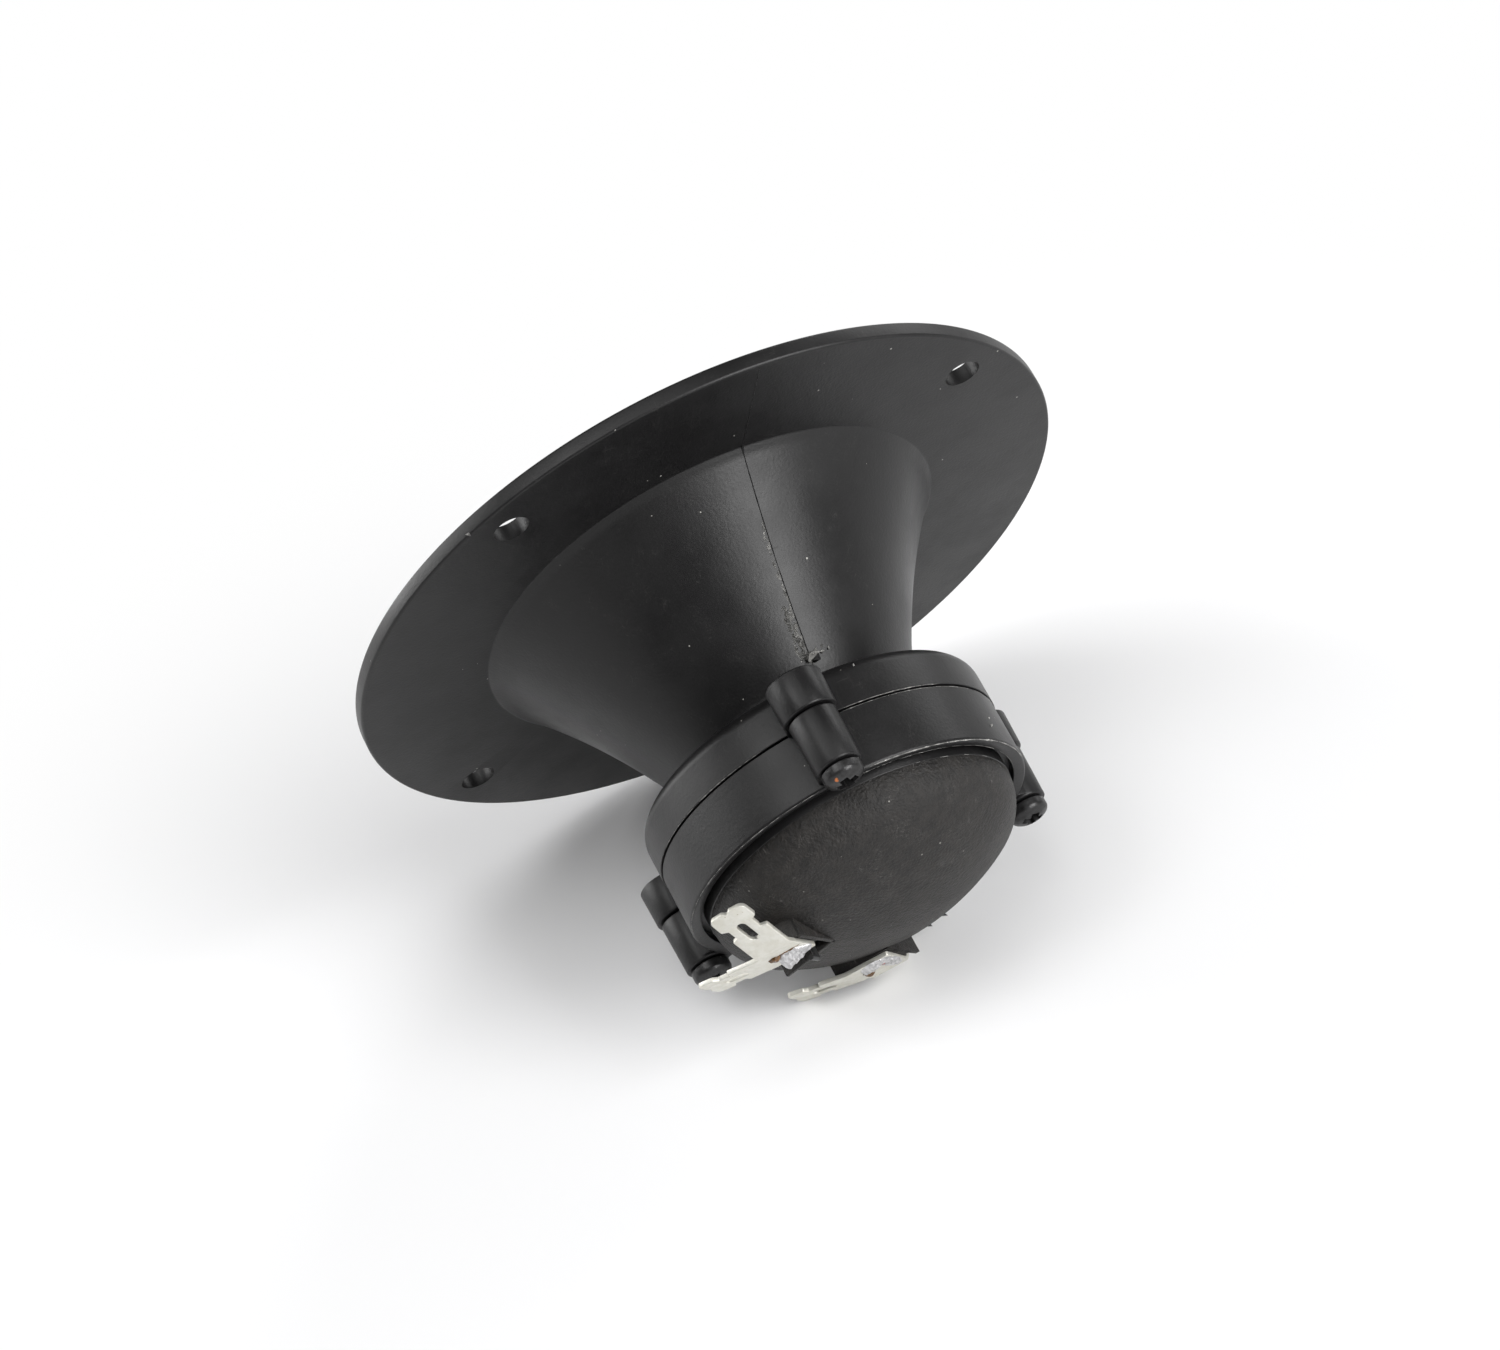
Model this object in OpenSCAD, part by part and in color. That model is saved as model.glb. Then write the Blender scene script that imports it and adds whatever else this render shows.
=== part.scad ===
// Round piezo horn tweeter, standing on its mouth.
// The origin is the centre of the mouth's front plane; +Z runs along the horn to the rear dome.

/* [Flange] */
// Outer radius of the mounting flange
flange_r = 48; // [46:0.5:52]
// Thickness of the flange plate
flange_t = 2.1; // [1.8:0.1:3]
// Height of the raised bead on the front face
bead_h = 0.6; // [0.4:0.1:1]
// Distance from the flange's edge in to the raised bead
bead_inset = 1.3; // [0.8:0.1:4]
// Width of the raised bead
bead_w = 1.6; // [1:0.1:2.5]
// Distance from the flange's edge in to the centres of the mounting holes
hole_inset = 5.2; // [4:0.1:7]
// Radius of each mounting hole
hole_r = 2.3; // [1.8:0.1:2.8]
// Number of mounting holes
hole_count = 4; // [3:1:8]

/* [Horn] */
// Outside radius of the flare where it meets the flange
flare_r = 30.75; // [29:0.25:33]
// Outside radius of the neck
neck_r = 15.8; // [15.2:0.1:17]
// Length of the flare behind the flange
flare_len = 24.9; // [22:0.1:28]
// Wall thickness of the horn and its cup
horn_wall = 1.9; // [1.6:0.1:2.2]
// Rounding of the mouth's front edge
mouth_round = 1.8; // [1:0.1:2]
// Fillet between the neck and the cup
neck_fillet = 1.8; // [1:0.1:2.4]

/* [Housing] */
// Width of the ring between the dome and the cover's side wall
ring_w = 2.2; // [1.9:0.1:3]
// Step between the cover's side wall and the horn's cup
cup_step = 0.2; // [0:0.05:0.6]
// Depth of the cup behind the neck
cup_depth = 8; // [7.5:0.1:9]
// Rounding of the cup's front edge
cup_round = 2; // [0.8:0.1:2.2]
// Gap of the seam between the cup and the cover
seam_gap = 0.25; // [0.15:0.05:0.4]
// Height of the cover's side wall
cover_depth = 7.65; // [6:0.05:9]
// Wall thickness of the cover
cover_wall = 1.7; // [1.4:0.1:1.8]
// Rise of the rear ring from its outer to its inner edge
ring_rise = 0.5; // [0.2:0.1:0.8]

/* [Dome] */
// Radius of the rear dome at its base
dome_r = 20.4; // [19.6:0.1:20.8]
// Height of the rear dome
dome_h = 10.3; // [9.5:0.1:12]
// Height of the dome's straight foot above the ring
dome_foot = 0.5; // [0.3:0.1:0.9]
// Radius of the arc at the dome's edge
dome_edge_r = 6; // [4:0.5:8]
// Width of the groove round the dome
groove_w = 0.7; // [0.2:0.05:0.9]
// Depth of the groove round the dome
groove_d = 1.2; // [0.4:0.1:1.4]

/* [Screws] */
// Distance from the cup's side wall out to the screws
boss_reach = 2.8; // [2.6:0.1:4.2]
// Azimuth of the first screw, in degrees
boss_azimuth = 105; // [90:1:120]
// Outside radius of the horn's sleeves at their seam
sleeve_front_r = 3.45; // [3.2:0.05:4]
// Outside radius of the cover's sleeves at their seam
sleeve_rear_r = 3.1; // [3:0.05:3.5]
// Draft of the sleeves, in degrees
sleeve_draft = 1.5; // [0:0.25:2]
// Length of the horn's sleeves
sleeve_front_len = 5; // [4.5:0.1:6.5]
// Step of the sleeves' seam behind the housing's seam
sleeve_step = 0.8; // [0:0.1:1.2]
// Rise of the cover's sleeves above the housing's shoulder
boss_rise = 0.4; // [0:0.1:0.8]
// Width of the webs that carry the sleeves
web_w = 4.6; // [3:0.1:5.5]
// Radius of the screw's thread core
screw_core_r = 1.15; // [0.9:0.05:1.3]
// Radius of the screw's shank in the cover
screw_shank_r = 1.4; // [1.2:0.05:1.5]
// Radius of the screw's head
screw_head_r = 2.55; // [2.2:0.05:2.9]
// Height of the screw's head
screw_head_h = 2; // [1.2:0.1:2.4]
// Depth that the screw reaches into the horn's sleeve
screw_bite = 3.6; // [2.5:0.1:4]
// Radial clearance of the screw in its holes
screw_clear = 0.06; // [0.03:0.01:0.15]

/* [Terminals] */
// Length of the walls round each terminal pad on the dome
pad_w = 8; // [7.7:0.05:9]
// Thickness of the walls round each terminal pad
pad_wall = 0.6; // [0.5:0.05:0.8]
// Distance from the dome's edge in to the pads' inner walls
pad_reach = 14.65; // [14:0.05:15.5]
// Distance from the dome's edge in to the walls between the pads
pad_span = 14.6; // [13.9:0.1:15.4]
// Depth of the pads' top below the dome's crown
pad_drop = 1; // [0.6:0.1:2]
// Width of the terminal blades
blade_w = 5.2; // [4.6:0.1:5.6]
// Thickness of the terminal sheet
blade_t = 0.6; // [0.4:0.05:0.8]
// Clearance between the terminal and the pad's walls
terminal_clear = 0.1; // [0.05:0.05:0.3]
// Shift of the left terminal on its pad, which leaves the lead's opening free
left_shift = 2.5; // [2.2:0.1:2.7]
// Length of the blade that points sideways
side_blade_len = 9.8; // [8:0.1:11]
// Slope of the left terminal's side blade, in degrees
left_side_slope = 27; // [15:1:35]
// Slope of the right terminal's side blade, in degrees
right_side_slope = 40; // [25:1:42]
// Length of the blade that points outward
out_blade_len = 10.6; // [9:0.1:12]
// Slope of the blade that points outward, in degrees
out_blade_slope = 19; // [10:1:25]
// Width of the slot in each blade
slot_w = 1.3; // [0.8:0.1:1.8]
// Length of the slot in each blade, between the centres of its round ends
slot_len = 2.1; // [1.5:0.1:4]
// Distance from a blade's end to the near end of its slot
slot_inset = 2.9; // [2:0.1:3.5]
// Length of a blade's end beyond the notches
lobe_len = 3.2; // [2:0.1:3.8]
// Depth of the notches in a blade's sides
notch_d = 0.6; // [0.3:0.1:0.9]
// Length of the notches in a blade's sides
notch_len = 1.2; // [0.8:0.1:1.6]

/* [Drive unit] */
// Thickness of the ring gasket
gasket_t = 0.7; // [0.4:0.1:1]
// Thickness of the cone's flexible edge
edge_t = 0.3; // [0.2:0.05:0.4]
// Radius of the roll in the cone's flexible edge
roll_r = 0.8; // [0.5:0.05:0.9]
// Distance from the cup's inside wall in to the cone's rim
cone_inset = 4.3; // [3.8:0.1:5]
// Width of the edge's flat lip beside the cone
lip_w = 0.9; // [0.7:0.05:1.2]
// Height of the diaphragm cone
cone_h = 7.6; // [6:0.1:7.8]
// Thickness of the diaphragm paper
cone_t = 0.35; // [0.25:0.05:0.5]
// Radius of the cone's flat tip
cone_tip_r = 2.2; // [1.5:0.1:3]
// Radius of the brass plate
plate_r = 12.5; // [12:0.1:13.5]
// Thickness of the brass plate
plate_t = 0.3; // [0.2:0.05:0.4]
// Width of the brass rim round the ceramic discs
rim_w = 2; // [1.6:0.1:3.5]
// Thickness of each ceramic disc
ceramic_t = 0.3; // [0.2:0.05:0.4]
// Width of the bare ceramic round the silver electrodes
film_inset = 0.6; // [0.4:0.1:2]
// Thickness of the silver electrodes
electrode_t = 0.08; // [0.05:0.01:0.1]
// Height of the glue bead between cone and element
bead_glue_h = 0.65; // [0.4:0.05:0.9]
// Radius of the leads
lead_r = 0.35; // [0.25:0.05:0.45]
// Radius of the damping pad
damper_r = 7.2; // [5:0.1:7.4]
// Thickness of the damping pad
damper_t = 4.4; // [3:0.1:5]
// Clearance between moving and fixed pieces
move_clear = 0.5; // [0.3:0.05:0.8]

/* [Phase plug] */
// Radius of the phase plug
plug_r = 9.2; // [8:0.1:10]
// Length of the bullet in front of the plug's widest part
plug_nose = 15; // [12:0.5:18]
// Gap between the plug and the cone
plug_gap = 1; // [0.7:0.1:1.5]
// Width of the ring that seats the plug in the throat
plug_ring_w = 1.4; // [1:0.1:2]
// Height of the ring that seats the plug in the throat
plug_ring_h = 2.6; // [2:0.1:3.2]
// Width of the plug's ribs
plug_rib_w = 1.3; // [1:0.1:2]

/* [Hidden] */
$fn = 96;
cut = 0.5;
plastic = [0.11, 0.105, 0.11];
tin = [0.86, 0.85, 0.78];
flange_z = bead_h + flange_t;
bead_r = flange_r - bead_inset;
hole_circle_r = flange_r - hole_inset;
neck_z = flange_z + flare_len;
flare_rate = ln(flare_r / neck_r) / flare_len;
cup_face_z = neck_z + neck_fillet;
cup_floor_z = cup_face_z + horn_wall;
seam_z = neck_z + cup_depth;
cover_z = seam_z + seam_gap;
shoulder_z = cover_z + cover_depth;
ring_z = shoulder_z + ring_rise;
dome_z = ring_z + dome_foot;
crown_z = dome_z + dome_h;
pad_z = crown_z - pad_drop;
throat_r = neck_r - horn_wall;
cover_r = dome_r + ring_w;
cup_r = cover_r + cup_step;
cup_in_r = cup_r - horn_wall;
cover_in_r = cover_r - cover_wall;
cover_edge = 0.3;
boss_circle_r = cup_r + boss_reach;
nose_steps = 24;
flare_steps = 24;
arc_steps = 8;
mould_azimuth = 225;
boss_count = 3;
boss_rear_z = shoulder_z + boss_rise;
web_drop = 0.1;
sleeve_seam_z = seam_z + sleeve_step;
sleeve_cover_z = sleeve_seam_z + seam_gap;
sleeve_front_z = sleeve_seam_z - sleeve_front_len;
fit_clear = 0.06;

// Stack of the drive unit, from the horn's cup floor towards the rear
gasket_z = cup_floor_z;
edge_z = gasket_z + gasket_t;
cone_z = edge_z + edge_t;
cone_top_z = cone_z + cone_h;
element_z = cone_top_z + bead_glue_h;
ceramic_front_z = element_z + electrode_t;
plate_z = ceramic_front_z + ceramic_t;
ceramic_rear_z = plate_z + plate_t;
electrode_rear_z = ceramic_rear_z + ceramic_t;
element_top_z = electrode_rear_z + electrode_t;
solder_h = 0.55;
solder_inset = 0.2;
lobe_corner = 0.7;
end_nick = 0.4;
damper_z = element_top_z + solder_h + move_clear;
edge_clear = 0.15;
edge_out_r = cup_in_r - 2 * edge_clear;
cone_r = cup_in_r - cone_inset;
roll_centre_r = cone_r + lip_w + roll_r;
spigot_out_r = cup_in_r - edge_clear;
spigot_in_r = roll_centre_r + roll_r + edge_clear;
spigot_z = cone_z + 0.1;
spigot_root = 1.5;
ceramic_r = plate_r - rim_w;
electrode_r = ceramic_r - film_inset;

// Terminals, in the frame of the pads: their bases, and the slot beside the left one
pad_in = dome_r - pad_reach;
pad_half_gap = dome_r - pad_span;
base_lap = 0.2;
base_d = blade_w + base_lap;
strip_inset = 1;
base_x = pad_in + pad_wall + terminal_clear;
right_base_y = pad_half_gap + pad_wall + terminal_clear;
left_base_y = right_base_y + left_shift;
base_z = pad_z + fit_clear;
block_inset = 0.1;
slot_x = pad_in + pad_wall;
slot_y = pad_half_gap + pad_wall;
slot_reach = 4.4;

// Leads: where they rise through the pads, and their solder dots on the element
lead_hole_r = 0.6;
right_lead_inset = [1.65, 1.5];
left_lead_inset = 1.9;
right_lead = [base_x, right_base_y] + right_lead_inset;
left_lead = [slot_x + left_lead_inset, slot_y + left_shift / 2];
plate_dot_r = rim_w / 2 - 0.25;
disc_dot_r = 0.9;
plate_dot = on_line_to(right_lead, plate_r - rim_w / 2);
disc_dot = on_line_to(left_lead, (damper_r + electrode_r) / 2 + 0.2);
lead_rise = 2;
lead_entry = 3;
lead_lift = 0.05;

// Point at a radius on the line from the axis to a point
function on_line_to(point, r) = point * r / norm(point);

// Outside radius of the exponential flare at a height
function flare_at(z) = neck_r * exp(flare_rate * (neck_z - z));

// Points of the flare between two heights, moved inward by a wall
function flare_points(z0, z1, wall) = [
    for (i = [0:flare_steps])
        let (z = z0 + (z1 - z0) * i / flare_steps)
        [flare_at(z) - wall, z]
];

// Points of an arc
function arc_points(centre, r, a0, a1, steps) = [
    for (i = [0:steps])
        let (a = a0 + (a1 - a0) * i / steps)
        [centre[0] + r * cos(a), centre[1] + r * sin(a)]
];

// Radius of the dome's main arc, which runs into the arc at its edge
crown_arc_r = (pow(dome_r - dome_edge_r, 2) + dome_h * dome_h - dome_edge_r * dome_edge_r)
    / (2 * (dome_h - dome_edge_r));

// Places something at each boss
module at_boss(index) {
    rotate([0, 0, boss_azimuth + index * 360 / boss_count])
        translate([boss_circle_r, 0, 0])
            children();
}

// Turns to the frame of the pads: x points outward between them, y to one pad
module at_pads(side) {
    rotate([0, 0, mould_azimuth])
        mirror([0, side < 0 ? 1 : 0, 0])
            children();
}

// A drafted sleeve with the web that joins it to the housing's wall
module sleeve(r0, r1, z0, z1, wall_r, web_z1) {
    translate([0, 0, z0])
        cylinder(r1 = r0, r2 = r1, h = z1 - z0);
    translate([wall_r - boss_circle_r, -web_w / 2, z0])
        cube([boss_circle_r - wall_r, web_w, web_z1 - z0]);
}

// Half section of the horn's shell
module horn_section() {
    mouth_r = flare_at(flange_z) - horn_wall;
    polygon(concat(
        [[flange_r, bead_h], [flange_r, flange_z]],
        flare_points(flange_z, neck_z, 0),
        arc_points([neck_r + neck_fillet, neck_z], neck_fillet, 180, 90, arc_steps),
        arc_points([cup_r - cup_round, cup_face_z + cup_round], cup_round, -90, 0, arc_steps),
        [[cup_r, seam_z], [cup_in_r, seam_z], [cup_in_r, cup_floor_z], [throat_r, cup_floor_z]],
        flare_points(neck_z, flange_z, horn_wall),
        arc_points([mouth_r + mouth_round, bead_h + mouth_round], mouth_round, 180, 270, arc_steps)
    ));
    translate([bead_r - bead_w, 0])
        square([bead_w, bead_h + flange_t / 2]);
}

module horn() {
    color(plastic)
        difference() {
            union() {
                rotate_extrude()
                    horn_section();
                for (i = [0:boss_count - 1])
                    at_boss(i)
                        sleeve(
                            sleeve_front_r + sleeve_front_len * tan(sleeve_draft), sleeve_front_r,
                            sleeve_front_z, sleeve_seam_z, cup_r - horn_wall / 2, sleeve_seam_z
                        );
            }
            // Room for the cover's side wall between the sleeves' ends
            translate([0, 0, seam_z])
                cylinder(r = cover_r + seam_gap, h = sleeve_step + cut);
            for (i = [0:hole_count - 1])
                rotate([0, 0, 45 + i * 360 / hole_count])
                    translate([hole_circle_r, 0, -cut])
                        cylinder(r = hole_r, h = flange_z + 2 * cut);
            for (i = [0:boss_count - 1])
                at_boss(i)
                    translate([0, 0, sleeve_seam_z - screw_bite - screw_clear])
                        cylinder(r = screw_core_r + screw_clear, h = screw_bite + cut);
        }
}

// Half section of the dome, moved inward by a wall: a main arc and an arc at the edge
module dome_section(wall) {
    centre_z = dome_z + dome_h - crown_arc_r;
    edge_x = dome_r - dome_edge_r;
    reach = 2 * crown_arc_r / (crown_arc_r - dome_edge_r);
    intersection() {
        translate([0, centre_z])
            circle(r = crown_arc_r - wall);
        polygon([
            [0, dome_z], [edge_x, dome_z],
            [edge_x * reach, centre_z + (dome_z - centre_z) * reach], [0, centre_z + crown_arc_r * 2]
        ]);
    }
    intersection() {
        translate([edge_x, dome_z])
            circle(r = dome_edge_r - wall);
        translate([edge_x - dome_edge_r / 2, dome_z])
            square([dome_edge_r * 2, dome_edge_r]);
    }
    translate([0, dome_z - dome_foot])
        square([dome_r - wall, dome_foot]);
}

// Half section of the cover: side wall, spigot, ring, groove and dome
module cover_section() {
    difference() {
        union() {
            polygon([
                [0, cover_z], [cover_r, cover_z],
                [cover_r, shoulder_z - cover_edge], [cover_r - cover_edge, shoulder_z],
                [dome_r + groove_w, ring_z], [dome_r + groove_w, ring_z - groove_d],
                [dome_r, ring_z - groove_d], [dome_r, ring_z], [0, ring_z]
            ]);
            dome_section(0);
        }
        dome_section(cover_wall);
        polygon([
            [0, cover_z - cut], [cover_in_r, cover_z - cut], [cover_in_r, shoulder_z - cover_wall],
            [dome_r - cover_wall, ring_z - groove_d - cover_wall / 2],
            [dome_r - cover_wall, ring_z + dome_foot / 2], [0, ring_z + dome_foot / 2]
        ]);
    }
    translate([spigot_in_r, spigot_z])
        square([spigot_out_r - spigot_in_r, cover_z - spigot_z + spigot_root]);
    translate([spigot_in_r, cover_z])
        square([cover_in_r + cut - spigot_in_r, spigot_root]);
}

// A terminal pad rising out of the dome: a block between two walls
module pad_block(depth_y) {
    height = pad_z - dome_z;
    translate([pad_in, pad_half_gap, dome_z]) {
        cube([base_x + base_d - pad_in - block_inset, depth_y - pad_half_gap, height]);
        cube([pad_w, pad_wall, height]);
        cube([pad_wall, pad_w, height]);
    }
}

// The dome's hollow as a solid, to keep it clear of the pads
module dome_hollow() {
    rotate_extrude()
        dome_section(cover_wall);
}

module rear_cover() {
    hub_inset = 1;
    hub_wall = 1.2;
    hub_r = damper_r - hub_inset;
    color(plastic)
        difference() {
            union() {
                rotate_extrude()
                    cover_section();
                for (i = [0:boss_count - 1])
                    at_boss(i)
                        sleeve(
                            sleeve_rear_r, sleeve_rear_r - (boss_rear_z - sleeve_cover_z) * tan(sleeve_draft),
                            sleeve_cover_z, boss_rear_z, cover_r - cover_wall / 2, shoulder_z - web_drop
                        );
                for (side = [-1, 1])
                    difference() {
                        at_pads(side)
                            pad_block(side < 0 ? pad_half_gap + pad_w : right_base_y + base_d - block_inset);
                        dome_hollow();
                    }
                translate([0, 0, damper_z + damper_t])
                    difference() {
                        cylinder(r = hub_r, h = crown_z - cover_wall / 2 - damper_z - damper_t);
                        translate([0, 0, -cut])
                            cylinder(r = hub_r - hub_wall, h = crown_z);
                    }
            }
            for (i = [0:boss_count - 1])
                at_boss(i)
                    translate([0, 0, sleeve_cover_z - cut])
                        cylinder(r = screw_shank_r + screw_clear, h = boss_rear_z - sleeve_cover_z + 2 * cut);
            at_pads(-1)
                translate([slot_x, slot_y, dome_z])
                    cube([slot_reach, left_shift - block_inset, dome_h + cut]);
            at_pads(1)
                translate([right_lead[0], right_lead[1], dome_z])
                    cylinder(r = lead_hole_r, h = dome_h + cut);
        }
}

// Bullet in the throat, whose rear follows the cone, on three ribs in a ring
module phase_plug() {
    rim_z = cup_floor_z - plug_ring_h;
    tip_z = cone_top_z - plug_gap;
    back_slope = cone_h / (cone_r - cone_tip_r);
    widest_z = tip_z - (plug_r - cone_tip_r) * back_slope;
    rib_count = 3;
    rib_lap = 1.5;
    nose = [
        for (i = [0:nose_steps])
            let (a = 90 * i / nose_steps)
            [i == 0 ? 0 : plug_r * pow(sin(a), 0.8), widest_z - plug_nose * cos(a)]
    ];
    color(plastic) {
        rotate_extrude()
            polygon(concat(nose, [[cone_tip_r, tip_z], [0, tip_z]]));
        ring(throat_r - fit_clear - plug_ring_w, throat_r - fit_clear, rim_z, plug_ring_h);
        for (i = [0:rib_count - 1])
            rotate([0, 0, boss_azimuth + 60 + i * 360 / rib_count])
                translate([plug_r - rib_lap, -plug_rib_w / 2, rim_z])
                    cube([throat_r - plug_r + rib_lap - plug_ring_w / 2, plug_rib_w, plug_ring_h]);
    }
}

// Flat ring between two radii
module ring(r_in, r_out, z, h) {
    translate([0, 0, z])
        difference() {
            cylinder(r = r_out, h = h);
            translate([0, 0, -cut])
                cylinder(r = r_in, h = h + 2 * cut);
        }
}

module gasket() {
    gasket_w = 2.6;
    color([0.3, 0.29, 0.27])
        ring(cup_in_r - edge_clear - gasket_w, cup_in_r - edge_clear, gasket_z, gasket_t);
}

// Flat rim, a half roll and an inner lip that carries the cone
module cone_edge() {
    lip_lap = 0.2;
    color([0.16, 0.15, 0.14])
        rotate_extrude() {
            translate([roll_centre_r + roll_r - edge_t, edge_z])
                square([edge_out_r - roll_centre_r - roll_r + edge_t, edge_t]);
            translate([cone_r - lip_lap, edge_z])
                square([lip_w + lip_lap + edge_t, edge_t]);
            intersection() {
                translate([roll_centre_r, edge_z])
                    difference() {
                        circle(r = roll_r);
                        circle(r = roll_r - edge_t);
                    }
                translate([roll_centre_r - 2 * roll_r, edge_z])
                    square([4 * roll_r, 2 * roll_r]);
            }
        }
}

module diaphragm_cone() {
    rim_r = cone_r + lip_w * 2 / 3;
    color([0.24, 0.21, 0.18])
        rotate_extrude()
            polygon([
                [0, cone_top_z - cone_t], [cone_tip_r - cone_t / 2, cone_top_z - cone_t],
                [cone_r - cone_t, cone_z], [rim_r, cone_z],
                [rim_r, cone_z + cone_t], [cone_r + cone_t / 4, cone_z + cone_t],
                [cone_tip_r, cone_top_z], [0, cone_top_z]
            ]);
}

module glue_bead() {
    waist = 0.25;
    foot_r = cone_tip_r - 0.3;
    color([0.8, 0.72, 0.5])
        translate([0, 0, cone_top_z])
            rotate_extrude()
                polygon([
                    [0, 0], [foot_r, 0], [foot_r - waist, bead_glue_h / 2],
                    [foot_r, bead_glue_h], [0, bead_glue_h]
                ]);
}

// Flat disc
module disc(r, z, h) {
    translate([0, 0, z])
        cylinder(r = r, h = h);
}

module bender_plate() {
    color([0.78, 0.62, 0.3])
        disc(plate_r, plate_z, plate_t);
}

module ceramic_front() {
    color([0.85, 0.82, 0.74])
        disc(ceramic_r, ceramic_front_z, ceramic_t);
}

module ceramic_rear() {
    color([0.85, 0.82, 0.74])
        disc(ceramic_r, ceramic_rear_z, ceramic_t);
}

module electrode_front() {
    color([0.8, 0.8, 0.8])
        disc(electrode_r, element_z, electrode_t);
}

module electrode_rear() {
    color([0.8, 0.8, 0.8])
        disc(electrode_r, electrode_rear_z, electrode_t);
}

// Drop of solder on a face: the cap of a sphere a little wider than the drop
module solder_dot(place, z, r) {
    ball_r = r * 1.1;
    translate([place[0], place[1], z])
        intersection() {
            translate([0, 0, solder_h - ball_r])
                sphere(r = ball_r);
            cylinder(r = r, h = solder_h);
        }
}

module inner_solder_plate() {
    color(tin)
        at_pads(1)
            solder_dot(plate_dot, ceramic_rear_z, plate_dot_r);
}

module inner_solder_disc() {
    color(tin)
        at_pads(-1)
            solder_dot(disc_dot, element_top_z, disc_dot_r);
}

// Round wire along a list of points, with a slightly wider ball at each bend
module wire(points, r) {
    ball_r = r * 1.05;
    for (i = [0:len(points) - 2]) {
        step = points[i + 1] - points[i];
        length = norm(step);
        translate(points[i])
            rotate([0, acos(step[2] / length), atan2(step[1], step[0])])
                cylinder(r = r, h = length, $fn = 24);
        if (i > 0)
            translate(points[i])
                sphere(r = ball_r, $fn = 24);
    }
}

// Up from the brass plate, through the pad and the terminal's base
module lead_plate() {
    start_z = ceramic_rear_z + solder_h;
    color([0.6, 0.1, 0.08])
        at_pads(1)
            wire([
                [plate_dot[0], plate_dot[1], start_z],
                [plate_dot[0], plate_dot[1], start_z + lead_rise],
                [right_lead[0], right_lead[1], start_z + 2 * lead_rise],
                [right_lead[0], right_lead[1], base_z + blade_t]
            ], lead_r);
}

// From the silvered disc, out through the pad's slot, over the edge of the terminal's base
module lead_disc() {
    start_z = element_top_z + solder_h;
    end_z = base_z + blade_t + lead_r + lead_lift;
    color([0.12, 0.12, 0.12])
        at_pads(-1)
            wire([
                [disc_dot[0], disc_dot[1], start_z],
                [disc_dot[0], disc_dot[1], start_z + lead_rise],
                [left_lead[0], left_lead[1], pad_z - lead_entry],
                [left_lead[0], left_lead[1], end_z],
                [left_lead[0], left_base_y + solder_inset, end_z]
            ], lead_r);
}

module damping_pad() {
    color([0.2, 0.2, 0.21])
        disc(damper_r, damper_z, damper_t);
}

// What is cut from a blade: notches, slot, corners and the small nick in its end
module blade_cuts(length) {
    neck_x = length - lobe_len - notch_len;
    half_w = slot_w / 2;
    slot_end_x = length - slot_inset - half_w;
    for (s = [-1, 1]) {
        translate([neck_x, s * blade_w / 2 - notch_d])
            square([notch_len, 2 * notch_d]);
        polygon([
            [length - lobe_corner, s * blade_w], [length + cut, s * blade_w],
            [length + cut, s * (blade_w / 2 - lobe_corner - cut)],
            [length - lobe_corner, s * blade_w / 2]
        ]);
    }
    polygon([[length - end_nick, 0], [length + cut, end_nick + cut], [length + cut, -end_nick - cut]]);
    polygon(concat(
        arc_points([slot_end_x, 0], half_w, -90, 90, arc_steps),
        arc_points([slot_end_x - slot_len, 0], half_w, 90, 270, arc_steps)
    ));
}

// A strip from the base, bent down at x = 0 into a blade
module blade(length, slope, base_len) {
    half_t = blade_t / 2;
    mitre = half_t * tan(slope / 2);
    tip_x = length * cos(slope);
    tip_z = -length * sin(slope);
    difference() {
        rotate([90, 0, 0])
            translate([0, 0, -blade_w / 2])
                linear_extrude(height = blade_w)
                    polygon([
                        [-base_len, -half_t], [-mitre, -half_t],
                        [tip_x - half_t * sin(slope), tip_z - half_t * cos(slope)],
                        [tip_x + half_t * sin(slope), tip_z + half_t * cos(slope)],
                        [mitre, half_t], [-base_len, half_t]
                    ]);
        rotate([0, slope, 0])
            translate([0, 0, -blade_t])
                linear_extrude(height = 2 * blade_t)
                    blade_cuts(length);
    }
}

// Base on the pad with one blade outward and one to the side
module terminal(base_y, side_slope) {
    mid_z = base_z + blade_t / 2;
    color(tin) {
        translate([base_x + base_d, base_y + blade_w / 2, mid_z])
            blade(out_blade_len, out_blade_slope, base_d);
        translate([base_x + blade_w / 2, base_y + base_d, mid_z])
            rotate([0, 0, 90])
                blade(side_blade_len, side_slope, base_d - strip_inset);
    }
}

module terminal_left() {
    at_pads(-1)
        terminal(left_base_y, left_side_slope);
}

module terminal_right() {
    at_pads(1)
        difference() {
            terminal(right_base_y, right_side_slope);
            translate([right_lead[0], right_lead[1], base_z - cut])
                cylinder(r = lead_hole_r, h = blade_t + 2 * cut);
        }
}

// Mound of solder on the terminal's base, over the lead's end: three sunken balls, whose
// centres, depths and radii are shares of the base's width
module terminal_solder(base_y) {
    bumps = [[0.39, 0.33, 0.3, 0.48], [0.61, 0.48, 0.22, 0.39], [0.28, 0.59, 0.22, 0.35]];
    top_z = base_z + blade_t;
    color([0.78, 0.78, 0.78])
        intersection() {
            union()
                for (b = bumps)
                    translate([base_x + b[0] * base_d, base_y + b[1] * base_d, top_z - b[2] * base_d])
                        sphere(r = b[3] * base_d, $fn = 48);
            translate([base_x, base_y + solder_inset, top_z])
                cube([base_d, base_d, base_d / 2]);
        }
}

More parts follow.
